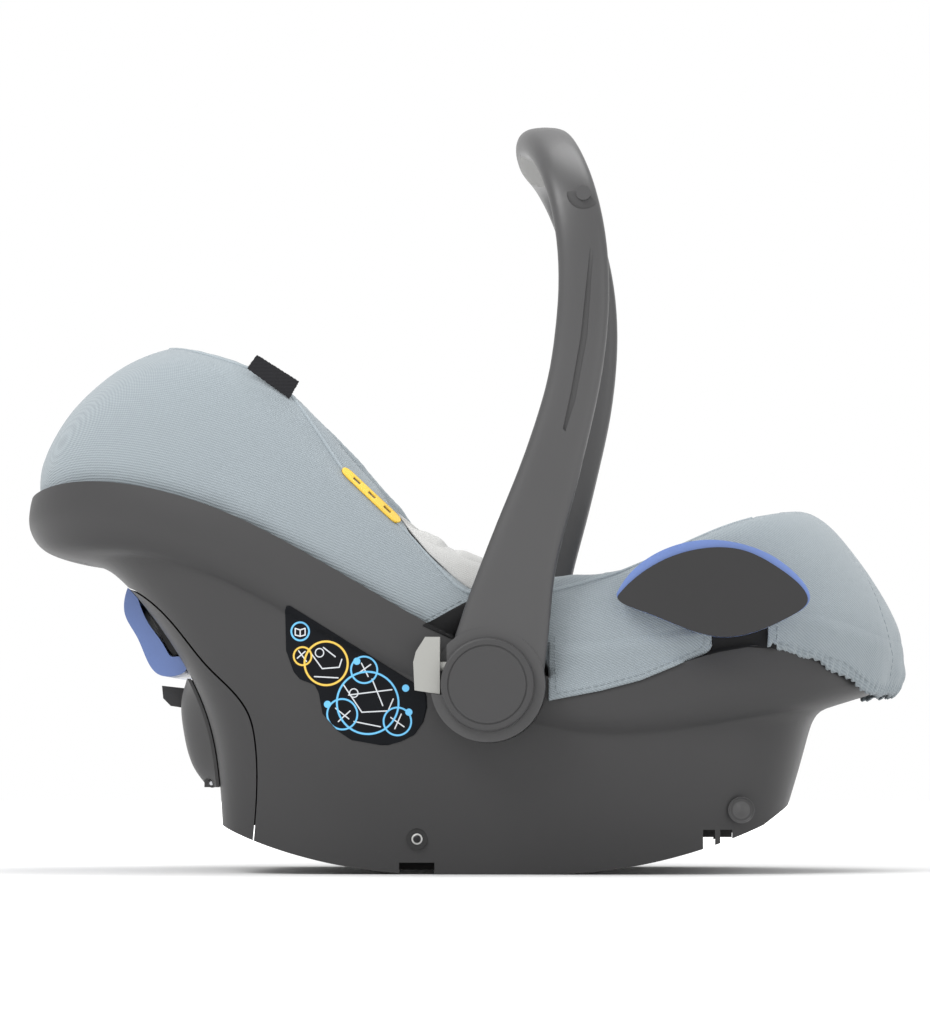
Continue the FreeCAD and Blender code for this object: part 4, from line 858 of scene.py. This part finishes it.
FOOT_HEM = [(0.236, 0.1720), (0.252, 0.1690), (0.277, 0.1610), (0.296, 0.1530), (0.314, 0.1430),
            (0.325, 0.1365), (0.345, 0.1375)]
FOOT_TOP = [(0.236, 0.2020), (0.255, 0.2020), (0.277, 0.2000), (0.296, 0.1960), (0.314, 0.1900),
            (0.330, 0.1850), (0.345, 0.1830)]
FOOT_CENTRE = Vector((0.20, 0.0, 0.0))
FOOT_TURN = 77.0            # degrees to each side of the foot's tip
LIP_LEVEL = 0.180           # the lip's outline is measured at this height
HANG_SLOPE = 0.20           # hanging cloth goes in by at most this share of its drop


def foot_reach(tree, out, z):
    """Distance of the outermost surface from the upright line through the foot's centre."""
    start = FOOT_CENTRE + out * 0.5 + Vector((0, 0, z))
    hit = tree.ray_cast(start, -out)
    return None if hit[0] is None else 0.5 - hit[3]


def foot_net(tree, columns, rows):
    net = []
    reach = []
    for i in range(columns + 1):
        turn = math.radians(FOOT_TURN * (2 * i / columns - 1))
        out = Vector((math.cos(turn), math.sin(turn), 0))
        at = FOOT_CENTRE.x + out.x * foot_reach(tree, out, LIP_LEVEL)
        high = between(FOOT_TOP, at)
        low = between(FOOT_HEM, at)
        far = []
        levels = []
        for j in range(rows + 1):
            z = high + (low - high) * j / rows
            seen = foot_reach(tree, out, z)
            hang = far[-1] - HANG_SLOPE * (high - low) / rows if far else 0.0
            far.append(max(hang, 0.0 if seen is None else seen))
            levels.append(z)
        net.append((out, levels))
        reach.append(far)
    return net, reach


def foot_flap(tree):
    """Foot end of the cover drawn down over the shell's lip by an elastic in its lower hem."""
    net, reach = foot_net(tree, 560, 16)
    reach = stretched_over(reach, 30)
    grid = []
    walked = 0.0
    before = None
    for (out, levels), far in zip(net, reach):
        foot = FOOT_CENTRE + out * far[-1]
        walked += (foot - before).length if before is not None else 0.0
        before = foot
        wander = noise.noise(Vector((walked * 60, 0, 0)))
        wave = math.sin(walked * 2 * math.pi / GATHER_PITCH + wander * 3.0)
        slow = math.sin(walked * 2 * math.pi / 0.034 + wander * 2.0)
        pull = noise.noise(Vector((walked * 42, 1.7, 0))) * 0.0034
        column = []
        for j, (z, r) in enumerate(zip(levels, far)):
            share = j / (len(levels) - 1)
            lift = HIDDEN_EDGE + 0.0030 * ramp(share, 0.0, 0.35)
            gather = wave * GATHER_DEPTH * ramp(share, 0.74, 0.93)
            gather += (pull + slow * 0.0004) * ramp(share, 0.35, 0.80)
            puff = 0.0042 * bump(share - 0.66, 0.24) * ramp(out.x, 0.70, 0.95)
            tuck = 0.0022 * ramp(share, 0.90, 1.0)
            sag = (wave * 0.0007 + slow * 0.0012) * ramp(share, 0.55, 1.0)
            column.append(FOOT_CENTRE + out * (r + lift + gather + puff - tuck) + Vector((0, 0, z + sag)))
        grid.append(column)
    return cloth_sheet("foot_flap", grid, FLAP_CLOTH, cover_cloth, "cover_fabric")


# A region of one side: its span in x, its lower line and its upper line.
HOOK_RECESS = ((0.184, 0.2440), [(0.184, 0.1640), (0.200, 0.1685), (0.222, 0.1725), (0.262, 0.1700)],
               [(0.184, 0.2010), (0.262, 0.2010)])
HUB_RECESS = ((-0.0230, 0.0120), [(-0.0230, 0.1880), (-0.0010, 0.1780), (0.0120, 0.1720)],
              [(-0.0230, 0.1884), (0.0075, 0.2050), (0.0120, 0.2070)])


def laid_on(tree, side, region, lift):
    """Grid of places a little outside the surfaces in a region of one side."""
    span, bottom, top = region
    places, reach = side_net(tree, side, 30, 14, span, top, bottom)
    grid = []
    for column, far in zip(places, reach):
        grid.append([Vector((x, side * (y + lift), z)) for (x, z), y in zip(column, far)])
    return grid


def recess_shade_sheet(tree, side, name, region):
    """Near-black sheet laid in a recess by the cover's hem: painted shade of the slot there."""
    return dress(sheet_mesh(name, laid_on(tree, side, region, 0.0006), 0.0006), painted_shade_plastic, "shell",
                 "inner_plastic")


WING_FOLD = ((-0.0440, 0.0440),
             [(-0.044, 0.2740), (-0.034, 0.2610), (-0.020, 0.2440), (0.000, 0.2250), (0.012, 0.2160),
              (0.044, 0.2120)],
             [(-0.044, 0.2750), (-0.036, 0.2690), (-0.020, 0.2560), (0.000, 0.2455), (0.020, 0.2370),
              (0.044, 0.2290)])


def wing_fold(tree, side, hand):
    """Cloth of the inlay's lobes, folded down over the rim and in under the cover."""
    grid = laid_on(tree, side, WING_FOLD, 0.0010)
    return cloth_sheet("wing_fold_" + hand, grid, WING_CLOTH, wing_cloth, "inlay_fabric")


RIM_NEAR = 0.05             # a point on the near rim is at least this far from the middle plane
PIPING_LINE = [(-0.2300, 0.4120), (-0.1980, 0.4020), (-0.1600, 0.3890), (-0.1380, 0.3780),
               (-0.1240, 0.3650), (-0.1040, 0.3370), (-0.0840, 0.3070), (-0.0620, 0.2840),
               (-0.0400, 0.2650), (-0.0160, 0.2380), (0.0080, 0.2140), (0.0360, 0.2110),
               (0.0690, 0.2150), (0.1250, 0.2300), (0.1600, 0.2460), (0.1890, 0.2605),
               (0.2260, 0.2750)]


def near_rim(tree, side, x, z):
    """Point of the near rim at an x, at a z or at the first height below it where the rim is met."""
    place, normal = onto_side(tree, side, x, z)
    while place is None or side * place.y < RIM_NEAR:
        z -= 0.0005
        place, normal = onto_side(tree, side, x, z)
    return place, normal


def rim_piping(tree, side, hand):
    """Piping in the seam along the outer edge of the rim."""
    line = []
    for place in densely([(x, 0, z) for x, z in PIPING_LINE], 0.004):
        line.append(near_rim(tree, side, place.x, place.z - 0.0015)[0])
    for _ in range(6):
        inner = [(line[i - 1] + line[i] * 2 + line[i + 1]) / 4 for i in range(1, len(line) - 1)]
        line = [line[0]] + inner + [line[-1]]
    piece = tube("rim_piping_" + hand, line, PIPING_RADIUS)
    return dress(piece, piping_cloth, "shell", "cover_fabric")


# Both side edges of the label: z, x.
LABEL_LEFT = [(0.0982, -0.0560), (0.1020, -0.0780), (0.1090, -0.0885), (0.1220, -0.1000),
              (0.1380, -0.1028), (0.1440, -0.1060), (0.1480, -0.1170), (0.1540, -0.1220),
              (0.1700, -0.1276), (0.2000, -0.1280), (0.2035, -0.1265)]
LABEL_RIGHT = [(0.0982, -0.0500), (0.1010, -0.0400), (0.1060, -0.0300), (0.1160, -0.0230),
               (0.1270, -0.0203), (0.1360, -0.0208), (0.1410, -0.0235), (0.1990, -0.1165),
               (0.2035, -0.1240)]
LABEL_FOOT = 0.0982
LABEL_TOP = 0.2035
LABEL_ROWS = 84
LABEL_COLUMNS = 60


HOLDER_LINE = ((-0.0855, 0.3075), (-0.0425, 0.2665))
HOLDER_HALF = 0.0026
HOLDER_STEPS = 60
HOLDER_SLOTS = (*range(11, 18), *range(27, 34), *range(43, 50))


def parking_plate(tree, side, hand):
    """Bright plate on the rim with three slots, which parks the open harness."""
    start, end = HOLDER_LINE
    run = Vector((end[0] - start[0], 0, end[1] - start[1]))
    across = Vector((-run.z, 0, run.x)).normalized()
    grid = []
    for i in range(HOLDER_STEPS + 1):
        share = i / HOLDER_STEPS
        round_end = math.sqrt(max(0.04, 1 - (abs(share - 0.5) * 2) ** 12))
        column = []
        for j in range(9):
            at = Vector((start[0], 0, start[1])) + run * share
            at += across * (HOLDER_HALF * round_end * (j / 4 - 1))
            place, normal = near_rim(tree, side, at.x, at.z)
            column.append(place + normal * 0.0011)
        grid.append(column)
    slots = [(i, j) for i in HOLDER_SLOTS for j in range(3, 6)]
    piece = sheet_mesh("parking_plate_" + hand, grid, 0.0018, slots)
    return dress(piece, holder_plastic, "shell", "holder_plastic", "strap_holder_" + hand)


def picture_label(tree, side, hand):
    """Printed film on the side of the shell."""
    grid = []
    for i in range(LABEL_COLUMNS + 1):
        share = i / LABEL_COLUMNS
        column = []
        for j in range(LABEL_ROWS + 1):
            z = LABEL_FOOT + (LABEL_TOP - LABEL_FOOT) * j / LABEL_ROWS
            x = between(LABEL_LEFT, z) * (1 - share) + between(LABEL_RIGHT, z) * share
            place, normal = onto_side(tree, side, x, z)
            column.append(place + normal * 0.0004)
        grid.append(column)
    piece = sheet_mesh("picture_label_" + hand, grid, 0.0003)
    return dress(piece, label_print, "shell", "label_print", "instruction_label_" + hand)


def woven_tab():
    """Folded tape tab at the rim, with heat-cut edges."""
    piece = soft_blank("label_tab", "woven_tab", 0.0009)
    ease(piece, 1)
    return dress(piece, tab_tape, "shell", "tab_fabric", "label_tab")


def return_spring(hand):
    """Spring behind a handle button."""
    node = "button_spring_" + hand
    piece = link(frame["nodes"][node].data.copy(), "return_spring_" + hand)
    dress(piece, steel, "handle", "steel", node)
    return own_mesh(piece)


# ---- surroundings ----
def studio_floor():
    work = bmesh.new()
    bmesh.ops.create_circle(work, cap_ends=True, segments=96, radius=9.0)
    mesh = bpy.data.meshes.new("studio_floor")
    work.to_mesh(mesh)
    work.free()
    floor = link(mesh, "studio_floor")
    pale = Finish("pale_floor", Specular_IOR_Level=0.1, Emission_Strength=1.0)
    pale.colour(pale.mix(pale.noise(0.5), (0.80, 0.80, 0.80), (0.82, 0.82, 0.82)))
    # further out the floor glows white: painted light that blends it into the white backdrop
    away = (pale.x * pale.x + pale.y * pale.y).math("SQRT").soft_step(0.5, 2.2)
    pale.feed(pale.shader.inputs["Emission Color"], pale.mix(away, (0.0, 0.0, 0.0), (1.0, 1.0, 1.0)))
    pale.roughness(pale.noise(0.05) * 0.05 + 0.85)
    floor.data.materials.append(pale.material)


def soft_light(name, place, target, size, power):
    light = bpy.data.lights.new(name, "AREA")
    light.shape = "DISK"
    light.size = size
    light.energy = power
    lamp = bpy.data.objects.new(name, light)
    lamp.location = place
    lamp.rotation_euler = (Vector(target) - Vector(place)).to_track_quat("-Z", "Y").to_euler()
    bpy.context.scene.collection.objects.link(lamp)


def camera_view():
    lens = bpy.data.cameras.new("product_view")
    lens.lens = 167.55
    lens.sensor_width = 36.0
    view = bpy.data.objects.new("product_view", lens)
    view.location = (0.1787, -3.7902, 0.0775)
    view.rotation_euler = (Vector((0, 0, 0.283)) - view.location).to_track_quat("-Z", "Y").to_euler()
    bpy.context.scene.collection.objects.link(view)
    bpy.context.scene.camera = view


def surroundings():
    world = bpy.data.worlds.new("studio")
    world.use_nodes = True
    world.node_tree.nodes["Background"].inputs[0].default_value = (1.0, 1.0, 1.0, 1.0)
    world.node_tree.nodes["Background"].inputs[1].default_value = 1.0
    bpy.context.scene.world = world
    bpy.context.scene.view_settings.view_transform = "Standard"
    studio_floor()
    soft_light("key", (-1.3, -1.9, 2.3), (0, 0, 0.2), 1.4, 44)
    soft_light("top", (0.5, 0.3, 2.6), (0, 0, 0.2), 1.8, 30)
    soft_light("fill", (2.4, -2.2, 0.9), (0.1, 0, 0.2), 1.4, 6)
    camera_view()


# ---- the whole part ----
shell_plastic = moulded_plastic("shell_plastic", SHELL_GREY, 0.50)
inner_plastic = moulded_plastic("inner_plastic", shade(SHELL_GREY, 0.55), 0.62)
# near-black plastic of the recess sheets: painted shade
painted_shade_plastic = moulded_plastic("painted_shade_plastic", (0.006, 0.006, 0.0065), 0.80)
handle_plastic = moulded_plastic("handle_plastic", HANDLE_GREY, 0.40, 0.0006, 0.00002, 0.5)
hub_plastic = moulded_plastic("hub_plastic", shade(HANDLE_GREY, 0.92), 0.46, 0.0006, 0.00002)
grip_plastic = moulded_plastic("grip_plastic", (0.30, 0.295, 0.285), 0.66, 0.0012, 0.00008)
button_plastic = moulded_plastic("button_plastic", BUTTON_GREY, 0.42, 0.0008, 0.00002)
holder_plastic = moulded_plastic("holder_plastic", HOLDER_YELLOW, 0.38, 0.0009, 0.00002)
buckle_plastic = moulded_plastic("buckle_plastic", (0.020, 0.020, 0.022), 0.48, 0.0006, 0.00003)
red_plastic = moulded_plastic("red_plastic", (0.50, 0.025, 0.018), 0.36, 0.0008, 0.00002)
lens_plastic = moulded_plastic("lens_plastic", LENS_DARK, 0.42, 0.0007, 0.00002)
steel = bright_steel("zinc_steel")
rear_bar_steel = bar_end("rear_bar_steel")
cap_plastic = domed_cap("cap_plastic", shade(SHELL_GREY, 1.25))
guide_plastic = blue_guide("guide_plastic")
label_print = instruction_print("label_print")
cover_cloth = ribbed_cloth("cover_cloth", FABRIC_BLUE, 0.0018, 0.00034,
                           (0.42, 0.55, 0.91), (0.91, 0.55, -0.42))
piping_cloth = ribbed_cloth("piping_cloth", shade(FABRIC_BLUE, 1.12), 0.0010, 0.00012,
                            (0.7, 0.7, 0.7), (0.6, -0.6, 0.4))
thread = ribbed_cloth("thread", shade(FABRIC_BLUE, 0.86), 0.0006, 0.00005,
                      (0.9, 0.3, 0.3), (0.2, 0.9, 0.3))
inlay_cloth = soft_jersey("inlay_cloth", INLAY_GREY)
wing_cloth = soft_jersey("wing_cloth", (0.50, 0.50, 0.49))
pad_cloth = soft_jersey("pad_cloth", shade(FABRIC_BLUE, 1.05))
strap_webbing = webbing("strap_webbing", (0.030, 0.031, 0.034))
tab_tape = ribbed_cloth("tab_tape", (0.014, 0.014, 0.016), 0.0008, 0.00008,
                        (0.0, 1.0, 0.3), (0.9, 0.0, 0.4))

FINISHES = {
    "shell_plastic": shell_plastic, "hub_plastic": hub_plastic, "inner_plastic": inner_plastic,
    "steel": steel, "guide_plastic": guide_plastic, "lens_plastic": lens_plastic, "label_print": label_print,
    "handle_plastic": handle_plastic, "grip_plastic": grip_plastic, "button_plastic": button_plastic,
    "holder_plastic": holder_plastic, "buckle_plastic": buckle_plastic, "red_plastic": red_plastic,
    "cover_fabric": cover_cloth, "inlay_fabric": inlay_cloth, "pad_fabric": pad_cloth,
    "webbing": strap_webbing, "tab_fabric": tab_tape,
}
for part in frame["record"]["subparts"]:
    paint(part["node"], FINISHES[part["material_slot"]])
paint("dock_bar_rear", rear_bar_steel)
paint("bar_cap_right", cap_plastic)
paint("bar_cap_left", cap_plastic)

cover = padded_cover()
newborn_inlay()
for side, hand in ((-1, "right"), (1, "left")):
    harness_pad("shoulder_pad_" + hand, "harness_pad_" + hand)
    harness_strap("shoulder_strap_" + hand, "harness_strap_" + hand)
harness_pad("crotch_pad", "buckle_pad")
harness_strap("crotch_strap", "buckle_strap")
woven_tab()

cover_tree = tree_of(cover)
shell_tree = tree_of(frame["nodes"]["outer_shell"])
tub_tree = tree_of(frame["nodes"]["inner_tub"])
skin_tree = joined_tree(cover, frame["nodes"]["outer_shell"])
flaps = [foot_flap(skin_tree)]
for side, hand in ((-1, "right"), (1, "left")):
    rim_piping(cover_tree, side, hand)
    parking_plate(cover_tree, side, hand)
    inlay_wing(tub_tree, side, hand)
    wing_fold(tub_tree, side, hand)
    flaps.append(side_flap(skin_tree, side, hand))
    # near-black sheets in the recesses by the hook and the hub: painted shade
    recess_shade_sheet(skin_tree, side, "hook_recess_shade_" + hand, HOOK_RECESS)
    recess_shade_sheet(skin_tree, side, "hub_recess_shade_" + hand, HUB_RECESS)
    picture_label(shell_tree, side, hand)
    return_spring(hand)
cloth_tree = joined_tree(cover, *flaps)
SEWN = {
    "hub_hem_head": [(-0.0265, 0.1900), (-0.0080, 0.1995), (0.0075, 0.2080)],
    "hub_hem_foot": [(0.0765, 0.1800), (0.0770, 0.1560), (0.0780, 0.1370)],
    "side_hem": [(0.0780, 0.1365), (0.1110, 0.1430), (0.1410, 0.1510), (0.1700, 0.1630), (0.1850, 0.1700),
                 (0.1890, 0.1740), (0.1895, 0.1830)],
    "hook_hem_foot": [(0.2450, 0.1990), (0.2440, 0.1760)],
    "foot_hem": [(0.2450, 0.1755), (0.2770, 0.1665), (0.2960, 0.1615), (0.3120, 0.1490), (0.3230, 0.1415)],
    "foot_seam": [(0.3170, 0.2260), (0.3230, 0.2120), (0.3300, 0.1900), (0.3355, 0.1660), (0.3330, 0.1500)],
}
for name, points in SEWN.items():
    for side, hand in ((-1, "right"), (1, "left")):
        stitch_row(name + "_" + hand, cloth_tree, side, points)

surroundings()
